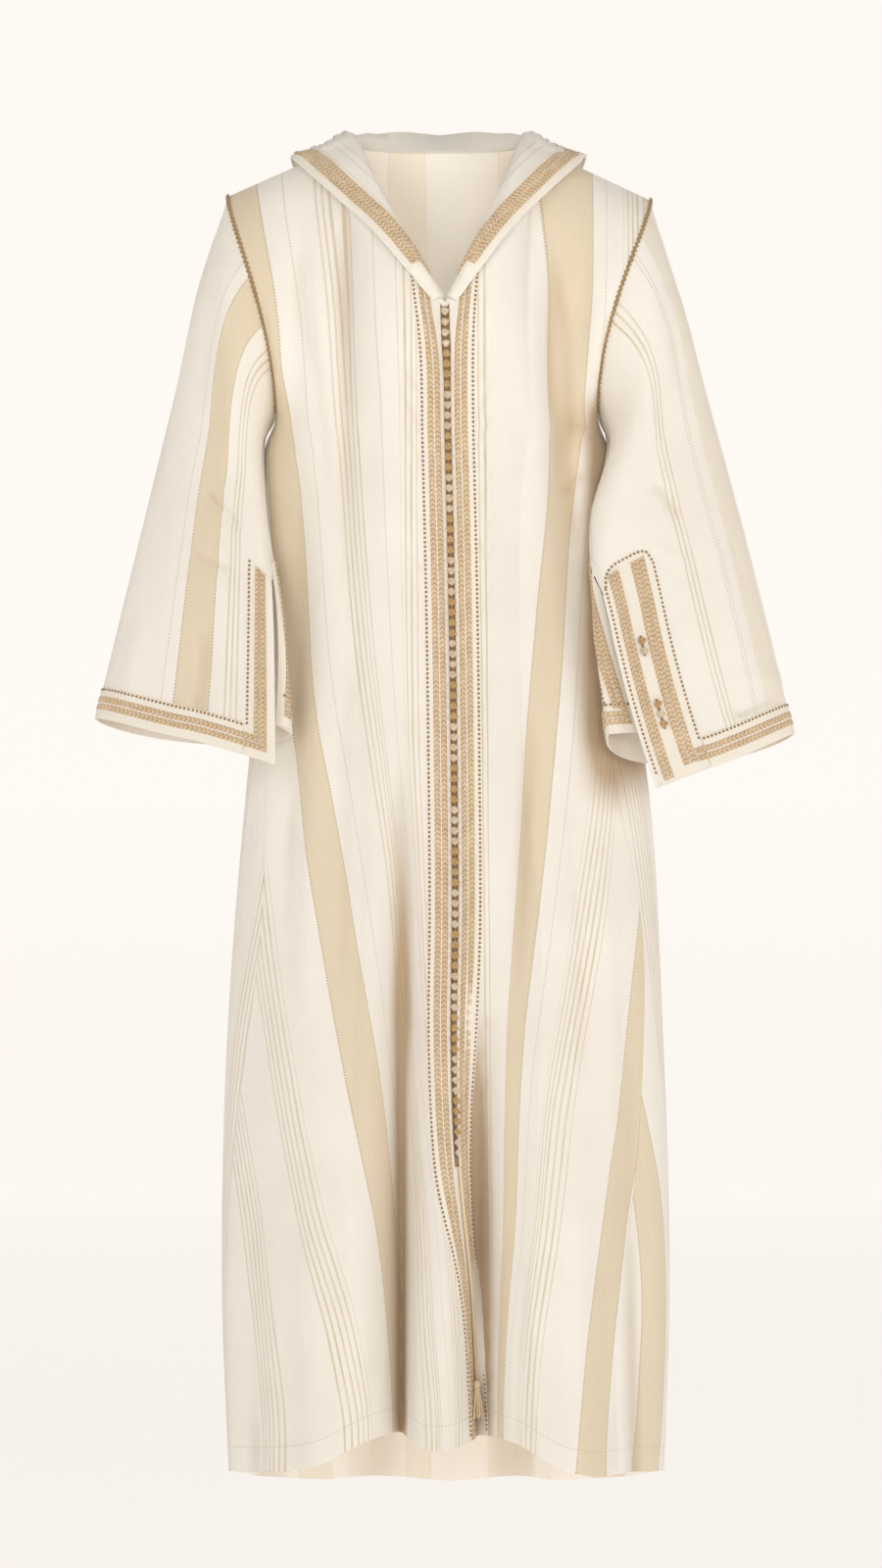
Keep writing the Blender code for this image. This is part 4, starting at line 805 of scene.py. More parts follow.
def hood_half(side_name):
    """Half the hood from the V to the centre back; rows from the neck seam to the free edge."""
    shares = np.linspace(HOOD_START, 1.0, HOOD_COLUMNS + 1)
    line, outward, up = hood_frame(side_name, shares)
    edge_marks = [0.0] + [mark for band in HOOD_BANDS for mark in band]
    grid = []
    for k, at in enumerate(shares):
        level = {name: column(HOOD, name, at) for name in HoodLevel._fields[1:]}
        outs = [0.0, level["crest_out"], level["low_out"], level["edge_out"]]
        ups = [0.0, level["crest_up"], level["low_up"], level["edge_up"]]
        knots = lengths(np.stack([outs, ups], axis=-1))
        dense = np.linspace(0.0, knots[-1], 161)
        section = np.stack([spline(knots, outs, dense), spline(knots, ups, dense)], axis=-1)
        reach = lengths(section)
        marks = np.array(sorted(edge_marks, reverse=True)) * min(1.0, reach[-1] / 0.055)
        even = np.linspace(0.0, reach[-1] - marks[0], HOOD_ROWS - len(marks) + 2)
        wanted = np.concatenate([even[:-1], reach[-1] - marks])
        out = np.interp(wanted, reach, section[:, 0])
        high = np.interp(wanted, reach, section[:, 1])
        grid.append(line[k] + outward[k] * out[:, None] + up[k] * high[:, None])
    return np.array(grid).transpose(1, 0, 2)


def lift_clear(points, under, least):
    """Move points out until they lie at least so far over the cloth under them, which is given
    by its points and normals."""
    under, under_normals = under
    moved = points.copy()
    for index in np.ndindex(points.shape[:2]):
        away = points[index] - under
        near = int(np.argmin(np.einsum("ij,ij->i", away, away)))
        height = float(away[near] @ under_normals[near])
        if height < least[index]:
            moved[index] = points[index] + under_normals[near] * (least[index] - height)
    return moved


def hood_grid(under):
    """The whole hood, from the left end of the V round the back to the right end."""
    grid = np.concatenate([hood_half("left"), hood_half("right")[:, ::-1][:, 1:]], axis=1)
    from_front = 1.0 - np.abs(np.linspace(-1.0, 1.0, grid.shape[1]))
    free = 0.5 * (1.0 - ease((from_front - 0.75) / 0.2))[None, 1:-1, None]
    for _ in range(HOOD_SMOOTHINGS):
        beside = (grid[1:, :-2] + grid[1:, 2:]) / 2
        grid[1:, 1:-1] += free * (beside - grid[1:, 1:-1])
    share = np.linspace(0.0, 1.0, grid.shape[0])[:, None]
    least = GAP + column(HOOD, "clear", from_front) * ease(share / 0.3)
    least[0] = -1.0
    lifted = lift_clear(grid, under, least)
    cloth_dips = np.maximum(0.0, grid_normals(lifted)[0, :, 2]) * CLOTH
    lifted[0, :, 2] += cloth_dips + 2 * GAP
    return draw_in(lifted, ("first_row",), GAP)


def agree(normals, *edges):
    """Give neighbours the same normals along their seam."""
    middle = unit(sum(normals[name][edge] for name, edge in edges))
    for name, edge in edges:
        normals[name][edge] = middle


# ---------------------------------------------------------------- sheets, and lines on them
class Sheet:
    """Cloth as a grid: outer points, outward normals, and per point a distance along its row
    from the edge that trims are measured from."""

    def __init__(self, points, normals, reach=None):
        self.points, self.normals = points, normals
        self.reach = reach_across(points) if reach is None else reach

    def strip(self, distances, first=0.0, last=None, shift=None):
        """Points and normals at distances along each row, from one row number to another.
        first may be a list, one for each distance; shift is added to the distances row by row."""
        rows = len(self.points)
        last = rows - 1.0 if last is None else last
        shift = np.zeros(rows) if shift is None else shift
        distances = np.asarray(distances, float)
        first = np.broadcast_to(np.asarray(first, float), distances.shape)
        steps = max(2, int(math.ceil(last - first.min())) + 1)
        wanted = first + (last - first) * np.linspace(0.0, 1.0, steps)[:, None]
        low = np.clip(np.floor(wanted).astype(int), 0, rows - 2)
        part = (wanted - low)[..., None]
        found = []
        for grid in (self.points, self.normals):
            lines = np.empty((rows, len(distances), 3))
            for i in range(rows):
                for axis in range(3):
                    lines[i, :, axis] = np.interp(distances + shift[i], self.reach[i], grid[i, :, axis])
            across = np.arange(len(distances))
            found.append(lines[low, across] * (1 - part) + lines[low + 1, across] * part)
        return found[0], unit(found[1])


def turned(sheet):
    """The same cloth with its columns as rows, measured from the last row."""
    return Sheet(*(grid.transpose(1, 0, 2)[:, ::-1] for grid in (sheet.points, sheet.normals)))


def row_of_cuff(sheet, near, distance):
    """Row number where a line down a sleeve comes to a distance from the cuff's edge."""
    reach = lengths(sheet.strip([near])[0][:, 0])
    return float(np.interp(reach[-1] - distance, reach, np.arange(len(reach))))


def row_at_level(line, z):
    """Row number where a falling line of points is at a level."""
    return float(np.interp(-z, -line[:, 2], np.arange(len(line))))


# ---------------------------------------------------------------- meshes
def object_from(name, mesh_data, *finishes):
    """A smooth object of a finished bmesh."""
    mesh = bpy.data.meshes.new(name)
    mesh_data.to_mesh(mesh)
    mesh_data.free()
    for finish in finishes:
        mesh.materials.append(finish)
    made = bpy.data.objects.new(name, mesh)
    bpy.context.scene.collection.objects.link(made)
    mesh.shade_smooth()
    mesh.set_sharp_from_angle(angle=math.radians(60))
    return made


def spread_out(points, rows, columns):
    """Points averaged over so many rows and columns each way."""
    out = points
    for axis, reach in ((0, rows), (1, columns)):
        pad = [(reach, reach) if a == axis else (0, 0) for a in range(3)]
        total = np.cumsum(np.pad(out, pad, mode="reflect", reflect_type="odd"), axis=axis)
        total = np.concatenate([np.zeros_like(np.take(total, [0], axis)), total], axis=axis)
        size, width = out.shape[axis], 2 * reach + 1
        ends = np.take(total, np.arange(width, width + size), axis)
        out = (ends - np.take(total, np.arange(size), axis)) / width
    return out


def hollows(points, normals, reaches):
    """How deep each point lies under the cloth round it, from 0 on a crest to 1 in a fold."""
    found = np.zeros(points.shape[:2])
    for (rows, columns), depth, share in zip(reaches, HOLLOW_DEPTHS, HOLLOW_SHARES):
        middle = spread_out(points, rows, columns)
        found += share * np.clip(((middle - points) * normals).sum(-1) / depth, -1.0, 1.0)
    return 0.5 + 0.5 * np.clip(found, -1.0, 1.0)


def shell(name, outer, inner, u, v, hollow, finish, inner_finish=None, joined_rows=0):
    """Closed thin shell between two grids, with the cloth's own measures as its UV map and a
    second map that says how hollow the cloth is and which faces are inner ones, which its material turns
    into painted shade in the folds and painted light on the inside. Its first rows may be joined into rings."""
    rows, columns = outer.shape[:2]
    mesh = bmesh.new()
    layer = mesh.loops.layers.uv.new("cloth")
    depth = mesh.loops.layers.uv.new("hollow")
    side = {}
    for key, points in (("out", outer), ("in", inner)):
        for i in range(rows):
            for j in range(columns):
                if j == columns - 1 and i < joined_rows:
                    side[key, i, j] = side[key, i, 0]
                else:
                    side[key, i, j] = mesh.verts.new(points[i, j])

    def face(keys, slot=0):
        made = mesh.faces.new([side[key] for key in keys])
        made.material_index = slot
        for loop, key in zip(made.loops, keys):
            loop[layer].uv = (u[key[1:]], v[key[1:]])
            deep = hollow[key[1:]]
            loop[depth].uv = (deep, 0.0) if key[0] == "out" else (1.0 - deep, 1.0)

    finishes = [finish] if inner_finish is None else [finish, inner_finish]
    for i in range(rows - 1):
        for j in range(columns - 1):
            face([("out", i, j), ("out", i + 1, j), ("out", i + 1, j + 1), ("out", i, j + 1)])
            face([("in", i, j), ("in", i, j + 1), ("in", i + 1, j + 1), ("in", i + 1, j)],
                 len(finishes) - 1)
    for i in range(rows - 1):
        if i + 1 >= joined_rows:
            face([("out", i, 0), ("in", i, 0), ("in", i + 1, 0), ("out", i + 1, 0)])
            j = columns - 1
            face([("out", i, j), ("out", i + 1, j), ("in", i + 1, j), ("in", i, j)])
    for j in range(columns - 1):
        face([("out", 0, j), ("out", 0, j + 1), ("in", 0, j + 1), ("in", 0, j)])
        i = rows - 1
        face([("out", i, j), ("in", i, j), ("in", i, j + 1), ("out", i, j + 1)])
    if mesh.calc_volume(signed=True) < 0:
        bmesh.ops.reverse_faces(mesh, faces=mesh.faces)
    return object_from(name, mesh, *finishes)


def laid(mesh, layer, points, normals, heights, base, u):
    """Add a strip that lies on cloth: its top follows heights across it, its underside is flat."""
    rows, columns = points.shape[:2]
    top = points + normals * np.asarray(heights)[None, :, None]
    low = points + normals * base
    down = lengths(points[:, columns // 2])
    high = [[mesh.verts.new(p) for p in line] for line in top]
    deep = [[mesh.verts.new(line[0]), mesh.verts.new(line[-1])] for line in low]

    def upper(i, j):
        return high[i][j], (u[j], down[i])

    def lower(i, j):
        return deep[i][j], (u[-j], down[i])

    def face(*corners):
        made = mesh.faces.new([corner[0] for corner in corners])
        for loop, corner in zip(made.loops, corners):
            loop[layer].uv = corner[1]

    last = columns - 1
    for i in range(rows - 1):
        for j in range(last):
            face(upper(i, j), upper(i + 1, j), upper(i + 1, j + 1), upper(i, j + 1))
        for j, side in ((0, 0), (last, 1)):
            face(upper(i, j), upper(i + 1, j), lower(i + 1, side), lower(i, side))
        face(lower(i, 0), lower(i + 1, 0), lower(i + 1, 1), lower(i, 1))
    for i in (0, rows - 1):
        face(*(upper(i, j) for j in range(columns)), lower(i, 1), lower(i, 0))


def laid_piece(name, strips, finish):
    """One object of several strips: each is (points, normals, heights, base, u)."""
    mesh = bmesh.new()
    layer = mesh.loops.layers.uv.new("cloth")
    for points, normals, heights, base, u in strips:
        laid(mesh, layer, points, normals, heights, base, u)
    bmesh.ops.recalc_face_normals(mesh, faces=mesh.faces)
    return object_from(name, mesh, finish)


RIBS = (0.0, 0.72, 1.0, 0.86, 0.56, 0.86, 1.0, 0.72, 0.0)


def braid(sheet, near, far, first=0.0, last=None, lift=FACING, shift=None):
    """A flat braid with two ribs on a sheet, between two distances along its rows."""
    distances = np.linspace(near, far, len(RIBS))
    points, normals = sheet.strip(distances, first, last, shift)
    heights = lift + BRAID * np.array(RIBS) * 0.85 + 0.00015
    return points, normals, heights, 0.0, distances - near


def facing(sheet, near, far, first=0.0, last=None, over=0.0, thick=FACING, shift=None, corner=0.0):
    """A plain facing on a sheet, softened at its edges, with its first corners rounded off
    over so many rows."""
    distances = np.concatenate([[near, near + 0.0012], np.linspace(near + 0.004, far - 0.004, 5),
                                [far - 0.0012, far]])
    if corner:
        aside = np.abs(2 * (distances - near) / (far - near) - 1)
        first = first + corner * (1 - np.sqrt(1 - aside ** 4))
    points, normals = sheet.strip(distances, first, last, shift)
    heights = over + thick * np.array([0.35, 0.95, 1, 1, 1, 1, 1, 0.95, 0.35])
    return points, normals, heights, over + FACING_LIFT * 0.3, distances


def frames_at(line, out, distances, step=0.003):
    """Points at distances along a line, with the directions along it, out of the cloth and
    across. out holds the outward normals of the line's own points."""
    ahead = unit(along(line, distances + step) - along(line, distances - step))
    normal = unit(read_off(distances, lengths(line), out))
    return along(line, distances), ahead, normal, unit(np.cross(normal, ahead))


STITCH_FOOT = ((-1, -0.5), (-0.6, -1), (0.6, -1), (1, -0.5), (1, 0.5), (0.6, 1), (-0.6, 1), (-1, 0.5))
STITCH_RIDGE = (-0.55, 0.55)
STITCH_SIDES = ((0,), (1, 0), (1,), (1,), (1,), (0, 1), (0,), (0,))     # ends of the ridge they meet


def stitches(name, lines, finish, size=STITCH, pitch=STITCH_PITCH, slant=0.0):
    """Raised stitches along lines of (points, normals)."""
    mesh = bmesh.new()
    rnd = random.Random(7)
    for line, out in lines:
        count = max(1, int(lengths(line)[-1] / pitch))
        frames = frames_at(line, out, pitch * (np.arange(count) + 0.5), pitch * 0.3)
        for point, ahead, normal, aside in zip(*frames):
            turn = slant + rnd.uniform(-0.12, 0.12)
            run = ahead * math.cos(turn) + aside * math.sin(turn)
            wide = aside * math.cos(turn) - ahead * math.sin(turn)
            long, broad = size[0] / 2 * rnd.uniform(0.9, 1.1), size[1] / 2
            foot = [mesh.verts.new(point + run * long * a + wide * broad * b) for a, b in STITCH_FOOT]
            ridge = [mesh.verts.new(point + run * long * a + normal * broad * 1.1)
                     for a in STITCH_RIDGE]
            for k, ends in enumerate(STITCH_SIDES):
                mesh.faces.new([foot[k], foot[(k + 1) % 8]] + [ridge[end] for end in ends])
            mesh.faces.new(foot[::-1])
    bmesh.ops.recalc_face_normals(mesh, faces=mesh.faces)
    return object_from(name, mesh, finish)


def tube(mesh, path, radius, sides=8, slot=0, closed=False):
    """Add a round cord along a path."""
    path = np.asarray(path, float)
    if closed:
        ahead = unit(np.roll(path, -1, axis=0) - np.roll(path, 1, axis=0))
    else:
        ahead = unit(np.gradient(path, axis=0))
    side = unit(np.cross(ahead, np.broadcast_to(np.array([0.3, 0.5, 0.8]), path.shape)))
    for k in range(1, len(path)):
        carried = side[k - 1] - ahead[k] * (side[k - 1] @ ahead[k])
        side[k] = carried / max(np.linalg.norm(carried), 1e-9)
    out = np.cross(side, ahead)
    radii = np.broadcast_to(radius, len(path))
    turns = [2 * math.pi * m / sides for m in range(sides)]
    rings = [[mesh.verts.new(path[k] + radii[k] * (math.cos(a) * side[k] + math.sin(a) * out[k]))
              for a in turns] for k in range(len(path))]
    pairs = list(zip(rings, rings[1:]))
    if closed:
        pairs.append((rings[-1], rings[0]))
    for first, second in pairs:
        for m in range(sides):
            n = (m + 1) % sides
            mesh.faces.new([first[m], first[n], second[n], second[m]]).material_index = slot
    if not closed:
        for ring in (rings[0], rings[-1]):
            mesh.faces.new(ring).material_index = slot


def cord_piece(name, paths, radius, finish, sides=8):
    """One object of round cords along paths."""
    mesh = bmesh.new()
    for path in paths:
        tube(mesh, path, radius, sides)
    bmesh.ops.recalc_face_normals(mesh, faces=mesh.faces)
    return object_from(name, mesh, finish)


def knots_piece(name, frames, finishes, group=KNOTS_A_COLOUR):
    """Turk's head knots on a dark core of painted shade: each a closed strand woven round twice while it
    goes over and under, in groups of two colours."""
    mesh = bmesh.new()
    rnd = random.Random(3)
    turns = np.linspace(0.0, 2 * math.pi, 31)[:-1]
    for k, (point, ahead, normal, aside) in enumerate(zip(*frames)):
        slot = (k // group) % 2
        size = KNOT_RADIUS * rnd.uniform(0.94, 1.04)
        tilt = rnd.uniform(-0.25, 0.25) + (0.5 if slot == 0 else 0.0)
        run = ahead * math.cos(tilt) + aside * math.sin(tilt)
        wide = aside * math.cos(tilt) - ahead * math.sin(tilt)
        ring = 0.66 + 0.34 * np.cos(3 * turns)
        flat = np.stack([ring * np.cos(2 * turns), ring * np.sin(2 * turns), 0.45 * np.sin(3 * turns)],
                        axis=-1)
        path = (point + normal * KNOT_RADIUS * 0.92 + wide * (flat[:, :1] * size * 0.80)
                + run * (flat[:, 1:2] * size * 0.74) + normal * (flat[:, 2:] * size * 0.9))
        tube(mesh, path, KNOT_STRAND, 6, slot, closed=True)
        # painted shade: a dark core under the knot, so that the gaps between its strands look dark
        core = [point + normal * KNOT_RADIUS * 0.55 + ahead * KNOT_PITCH * a
                for a in (-0.5, -0.25, 0.0, 0.25, 0.5)]
        tube(mesh, core, [0.0011, 0.0013, 0.0018, 0.0013, 0.0011], 6, 2)
    bmesh.ops.recalc_face_normals(mesh, faces=mesh.faces)
    return object_from(name, mesh, *finishes)


def tassel_piece(name, top, finish, strands=46, length=0.034):
    """A small tassel: a bound head and a skirt of strands."""
    mesh = bmesh.new()
    rnd = random.Random(11)
    head = [np.array(top) + np.array([0.0, 0.0, z]) for z in (0.0045, 0.003, 0.0005, -0.002, -0.0042)]
    tube(mesh, head, [0.0016, 0.0038, 0.0046, 0.0040, 0.0030], 12)
    for k in range(strands):
        angle = 2.4 * k
        part = math.sqrt((k + 0.5) / strands)
        out = np.array([math.cos(angle), math.sin(angle), 0.0])
        start = np.array(top) + out * 0.0028 * part + np.array([0.0, 0.0, -0.003])
        spread = out * (0.0052 * part) + np.array([rnd.uniform(-1, 1), rnd.uniform(-1, 1), 0.0]) * 0.0008
        drop = length * rnd.uniform(0.86, 1.0)
        path = [start + spread * ease(s) + np.array([0.0, 0.0, -drop * s]) for s in np.linspace(0, 1, 6)]
        tube(mesh, path, 0.00052, 4)
    for level in (-0.0035, -0.0045):
        ring = [np.array(top) + np.array([0.0034 * math.cos(a), 0.0034 * math.sin(a), level])
                for a in np.linspace(0, 2 * math.pi, 15)[:-1]]
        tube(mesh, ring, 0.0006, 5, closed=True)
    bmesh.ops.recalc_face_normals(mesh, faces=mesh.faces)
    return object_from(name, mesh, finish)


# ---------------------------------------------------------------- materials
class Nodes:
    """Small helper that adds and links shader nodes."""

    def __init__(self, name, roughness, sheen=0.0):
        self.made = bpy.data.materials.new(name)
        self.made.use_nodes = True
        self.tree = self.made.node_tree
        self.shader = self.tree.nodes["Principled BSDF"]
        for socket, value in (("Roughness", roughness), ("Sheen Weight", sheen),
                              ("Sheen Roughness", 0.5), ("Specular IOR Level", 0.25)):
            self.put(self.shader.inputs[socket], value)

    def add(self, kind, **settings):
        node = self.tree.nodes.new(kind)
        for key, value in settings.items():
            setattr(node, key, value)
        return node

    def put(self, socket, value):
        """Link a socket to another, or set its value; a colour may leave out its alpha."""
        if isinstance(value, bpy.types.NodeSocket):
            self.tree.links.new(value, socket)
        elif isinstance(value, tuple) and len(value) == 3:
            socket.default_value = (*value, 1.0)
        else:
            socket.default_value = value

    def math(self, operation, *values):
        node = self.add("ShaderNodeMath", operation=operation)
        for socket, value in zip(node.inputs, values):
            self.put(socket, value)
        return node.outputs[0]

    def plus(self, first, second):
        return self.math("ADD", first, second)

    def times(self, first, second):
        return self.math("MULTIPLY", first, second)

    def compare(self, value, aim, within):
        return self.math("COMPARE", value, aim, within)

    def mix(self, factor, first, second):
        node = self.add("ShaderNodeMix", data_type="RGBA")
        self.put(node.inputs["Factor"], factor)
        self.put(node.inputs[6], first)
        self.put(node.inputs[7], second)
        return node.outputs[2]

    def noise(self, vector, scale, detail=2.0, roughness=0.5):
        node = self.add("ShaderNodeTexNoise")
        for name, value in (("Vector", vector), ("Scale", scale), ("Detail", detail),
                            ("Roughness", roughness)):
            self.put(node.inputs[name], value)
        return node.outputs["Fac"]

    def scaled(self, vector, x, y, z=1.0):
        node = self.add("ShaderNodeMapping")
        self.put(node.inputs["Vector"], vector)
        node.inputs["Scale"].default_value = (x, y, z)
        return node.outputs[0]

    def uv(self, name="cloth"):
        """A UV map's vector and its two parts."""
        node = self.add("ShaderNodeUVMap", uv_map=name)
        split = self.add("ShaderNodeSeparateXYZ")
        self.put(split.inputs[0], node.outputs[0])
        return node.outputs[0], split.outputs[0], split.outputs[1]

    def place(self):
        return self.add("ShaderNodeTexCoord").outputs["Object"]

    def finish(self, colour, bump=None, strength=0.3, distance=0.0006):
        self.put(self.shader.inputs["Base Color"], colour)
        if bump is not None:
            node = self.add("ShaderNodeBump")
            node.inputs["Strength"].default_value = strength
            node.inputs["Distance"].default_value = distance
            self.put(node.inputs["Height"], bump)
            self.put(self.shader.inputs["Normal"], node.outputs[0])
        return self.made


def striped_cloth(name, panel, glow=0.0):
    """Cream cotton with its woven stripes, placed by the cloth's own UV map. glow is painted light:
    an emission that stands for the light that comes through the thin cloth to its inside."""
    nodes = Nodes("cloth_" + name, 0.82, 0.25)
    # painted light: an emission glow on the inner faces
    nodes.put(nodes.shader.inputs["Emission Color"], PAINTED_THROUGH_LIGHT)
    nodes.put(nodes.shader.inputs["Emission Strength"], glow)
    stripes = STRIPES[panel]
    where, u, v = nodes.uv()
    slub = nodes.noise(nodes.scaled(where, 420, 26), 1.0, 3.0, 0.6)
    cloud = nodes.noise(nodes.place(), 9.0, 3.0)
    colour = nodes.mix(nodes.times(slub, 0.28), CREAM, tuple(0.87 * c for c in CREAM))
    uneven = nodes.math("SUBTRACT", nodes.noise(nodes.scaled(where, 4, 3), 1.0), 0.5)
    across = nodes.plus(u, nodes.times(uneven, WANDER))
    dashes = nodes.math("GREATER_THAN", nodes.math("FRACT", nodes.math("DIVIDE", v, DASHES)), 0.45)

    def bands(kind):
        """Masks of the panel's stripes of one kind, taken together."""
        return together([nodes.compare(across, (start + end) / 2, (end - start) / 2)
                         for start, end in stripes[kind]])

    def together(masks):
        total = masks[0]
        for mask in masks[1:]:
            total = nodes.math("MAXIMUM", total, mask)
        return total

    if "beige" in stripes:
        strong = nodes.times(bands("beige"), nodes.plus(0.80, nodes.times(slub, 0.35)))
        colour = nodes.mix(strong, colour, BEIGE)
    if "faint" in stripes:
        colour = nodes.mix(nodes.times(bands("faint"), 0.4), colour, BEIGE)
    if "pins" in stripes:
        line = nodes.compare(nodes.math("FRACT", nodes.math("DIVIDE", across, PIN_PITCH)), 0.5, 0.16)
        fade = nodes.noise(nodes.scaled(where, 60, 5), 1.0, 2.0)
        line = nodes.times(line, nodes.times(nodes.plus(slub, 0.15), nodes.plus(fade, 0.25)))
        colour = nodes.mix(nodes.times(line, bands("pins")), colour, PIN)
    gold = [nodes.times(nodes.compare(across, edge, GOLD_THREAD), dashes)
            for stripe in stripes.get("beige", ()) for edge in stripe]
    gold += [nodes.times(nodes.compare(across, place, GOLD_THREAD), nodes.times(dashes, 0.6))
             for place in stripes.get("dotted", ())]
    colour = nodes.mix(nodes.times(together(gold), 0.62), colour, GOLD)
    tone = nodes.times(nodes.math("SUBTRACT", cloud, 0.38), 0.42)
    colour = nodes.mix(tone, colour, tuple(0.8 * c for c in BEIGE))
    # painted shade: the cloth darkens toward a warm brown in its folds, as deep as the hollow map says
    _, hollow, is_inside = nodes.uv("hollow")
    deep = nodes.math("MAXIMUM", nodes.times(nodes.math("SUBTRACT", hollow, 0.5), 2.0), 0.0)
    colour = nodes.mix(nodes.times(nodes.math("POWER", deep, 1.2), HOLLOW_SHADE_STRENGTH), colour, HOLLOW_SHADE)
    # painted light: inner faces are lightened halfway toward a paler cream
    colour = nodes.mix(nodes.times(is_inside, 0.5), colour, INSIDE_PAINTED_LIGHT)
    weave = nodes.times(nodes.math("SINE", nodes.times(u, 2 * math.pi / WEAVE_U)),
                        nodes.math("SINE", nodes.times(v, 2 * math.pi / WEAVE_V)))
    crumple = nodes.noise(nodes.place(), 38.0, 3.0)
    drape = nodes.noise(nodes.scaled(nodes.place(), 16, 16, 5), 1.0, 3.0, 0.6)
    height = nodes.plus(nodes.times(weave, 0.08),
                        nodes.plus(nodes.times(slub, 0.35), nodes.times(crumple, 2.2)))
    return nodes.finish(colour, nodes.plus(height, nodes.times(drape, 6.0)), 0.5, 0.0014)


def plain_cloth(name, colour_from):
    """Facing and piping cloth: plain weave, a little darker in random patches."""
    nodes = Nodes(name, 0.8, 0.2)
    slub = nodes.noise(nodes.scaled(nodes.uv()[0], 500, 40), 1.0, 3.0, 0.6)
    cloud = nodes.noise(nodes.place(), 26.0, 3.0)
    colour = nodes.mix(nodes.times(slub, 0.35), colour_from, tuple(0.84 * c for c in colour_from))
    colour = nodes.mix(nodes.times(cloud, 0.18), colour, tuple(0.7 * c for c in colour_from))
    return nodes.finish(colour, nodes.plus(nodes.times(slub, 0.5), cloud), 0.3, 0.0008)


def braided(name, dark, light, pitch=0.0052, period=0.0065):
    """Woven gold braid: chevrons of slanted strands, with painted light on their tops and painted shade
    between them, and tone that varies at random.
    """
    nodes = Nodes(name, 0.48, 0.35)
    where, u, v = nodes.uv()
    bent = nodes.math("PINGPONG", u, period / 2)
    slanted = nodes.math("DIVIDE", nodes.plus(v, nodes.times(bent, 0.9)), pitch)
    strand = nodes.times(nodes.math("PINGPONG", slanted, 0.5), 2.0)
    fine = nodes.noise(nodes.scaled(where, 900, 500), 1.0, 2.0)
    wide = nodes.noise(nodes.scaled(where, 90, 40), 1.0, 2.0)
    height = nodes.plus(strand, nodes.times(fine, 0.5))
    # painted light and shade: strand tops lighter, the gaps between darker, with random tone on top
    painted_strand_light = nodes.plus(nodes.times(nodes.math("POWER", strand, 0.8), 0.62),
                        nodes.plus(nodes.times(nodes.math("SUBTRACT", fine, 0.5), 0.7),
                                   nodes.times(nodes.math("SUBTRACT", wide, 0.2), 0.7)))
    return nodes.finish(nodes.mix(painted_strand_light, dark, light), height, 0.9, 0.0011)


def cord_finish(name, dark, light, scale=900.0):
    """Twisted cord or thread."""
    nodes = Nodes(name, 0.5, 0.3)
    fine = nodes.noise(nodes.scaled(nodes.place(), 1, 1, 1.6), scale, 2.0)
    wide = nodes.noise(nodes.place(), 60.0, 2.0)
    mixed = nodes.plus(nodes.times(fine, 0.7), nodes.times(wide, 0.4))
    return nodes.finish(nodes.mix(mixed, dark, light), fine, 0.6, 0.0005)


def studio_finish():
    """A backdrop that glows a little, so that it stays evenly pale behind the robe."""
    nodes = Nodes("studio", 0.95)
    nodes.put(nodes.shader.inputs["Specular IOR Level"], 0.05)
    nodes.put(nodes.shader.inputs["Emission Color"], STUDIO_GLOW)
    nodes.put(nodes.shader.inputs["Emission Strength"], 1.0)
    return nodes.finish(STUDIO)


# ---------------------------------------------------------------- the robe
def woven_places(points, reach, name):
    """Place of each point across the cloth as it was woven, so that its threads run where
    THREADS says. Rows run outward from the centre front."""
    sign = -1.0 if name == "front_left" else 1.0
    threads = [thread for thread in THREADS if thread.panel == name]
    aims = [(np.array([-z for _, z in thread.points]), np.array([x for x, _ in thread.points]))
            for thread in threads]
    places_out = np.empty_like(reach)
    for i, row in enumerate(points):
        across, woven = [0.0], [0.0]
        for thread, (levels, xs) in zip(threads, aims):
            short = sign * (np.interp(-row[:, 2], levels, xs) - row[:, 0])
            past = np.nonzero(short <= 0)[0]
            if len(past) == 0:
                where = reach[i, -1] + short[-1]
            else:
                j = max(int(past[0]), 1)
                share = np.clip(short[j - 1] / max(short[j - 1] - short[j], 1e-9), 0.0, 1.0)
                where = reach[i, j - 1] + share * (reach[i, j] - reach[i, j - 1])
            least = across[-1] + 0.35 * (thread.place - woven[-1])
            across.append(max(where, least))
            woven.append(thread.place)
        across.append(across[-1] + 0.3)
        woven.append(woven[-1] + 0.3)
        places_out[i] = np.interp(reach[i], across, woven)
    for _ in range(6):
        places_out[1:-1] = (places_out[:-2] + 2 * places_out[1:-1] + places_out[2:]) / 4
    return places_out


def seam_fade(shape, edges, columns=5, rows=5):
    """1 inside a panel, 0 at the edges that are sewn to a neighbour."""
    down, across = np.arange(shape[0])[:, None], np.arange(shape[1])[None, :]
    fades = {"first_column": ease(across / columns), "last_column": ease(across[:, ::-1] / columns),
             "first_row": ease(down / rows)}
    return math.prod((fades[edge] for edge in edges), start=np.ones(shape))


SEWN_ROUND = ("first_row", "first_column", "last_column")
EDGES = {"front_left": SEWN_ROUND, "front_right": SEWN_ROUND, "back": SEWN_ROUND,
         "sleeve_left": ("first_row",), "sleeve_right": ("first_row",)}


def puckers(points, reach, down):
    """Small gathers in the cloth beside the front opening's stitches."""
    rnd = random.Random(5)
    height = np.zeros(points.shape[:2])
    level = PUCKERS_FROM
    while level < PUCKERS_TO:
        size = PUCKER_DEPTH * rnd.uniform(0.4, 1.3)
        slant = rnd.uniform(-0.3, 0.3)
        place = PUCKER_PLACE + rnd.uniform(-0.003, 0.004)
        off = (down - level - slant * (reach - place)) / 0.006
        aside = (reach - place) / (PUCKER_WIDTH * rnd.uniform(0.8, 1.4))
        height -= size * np.exp(-off * off - aside * aside)
        level += PUCKER_PITCH * rnd.uniform(0.6, 1.4)
    return height


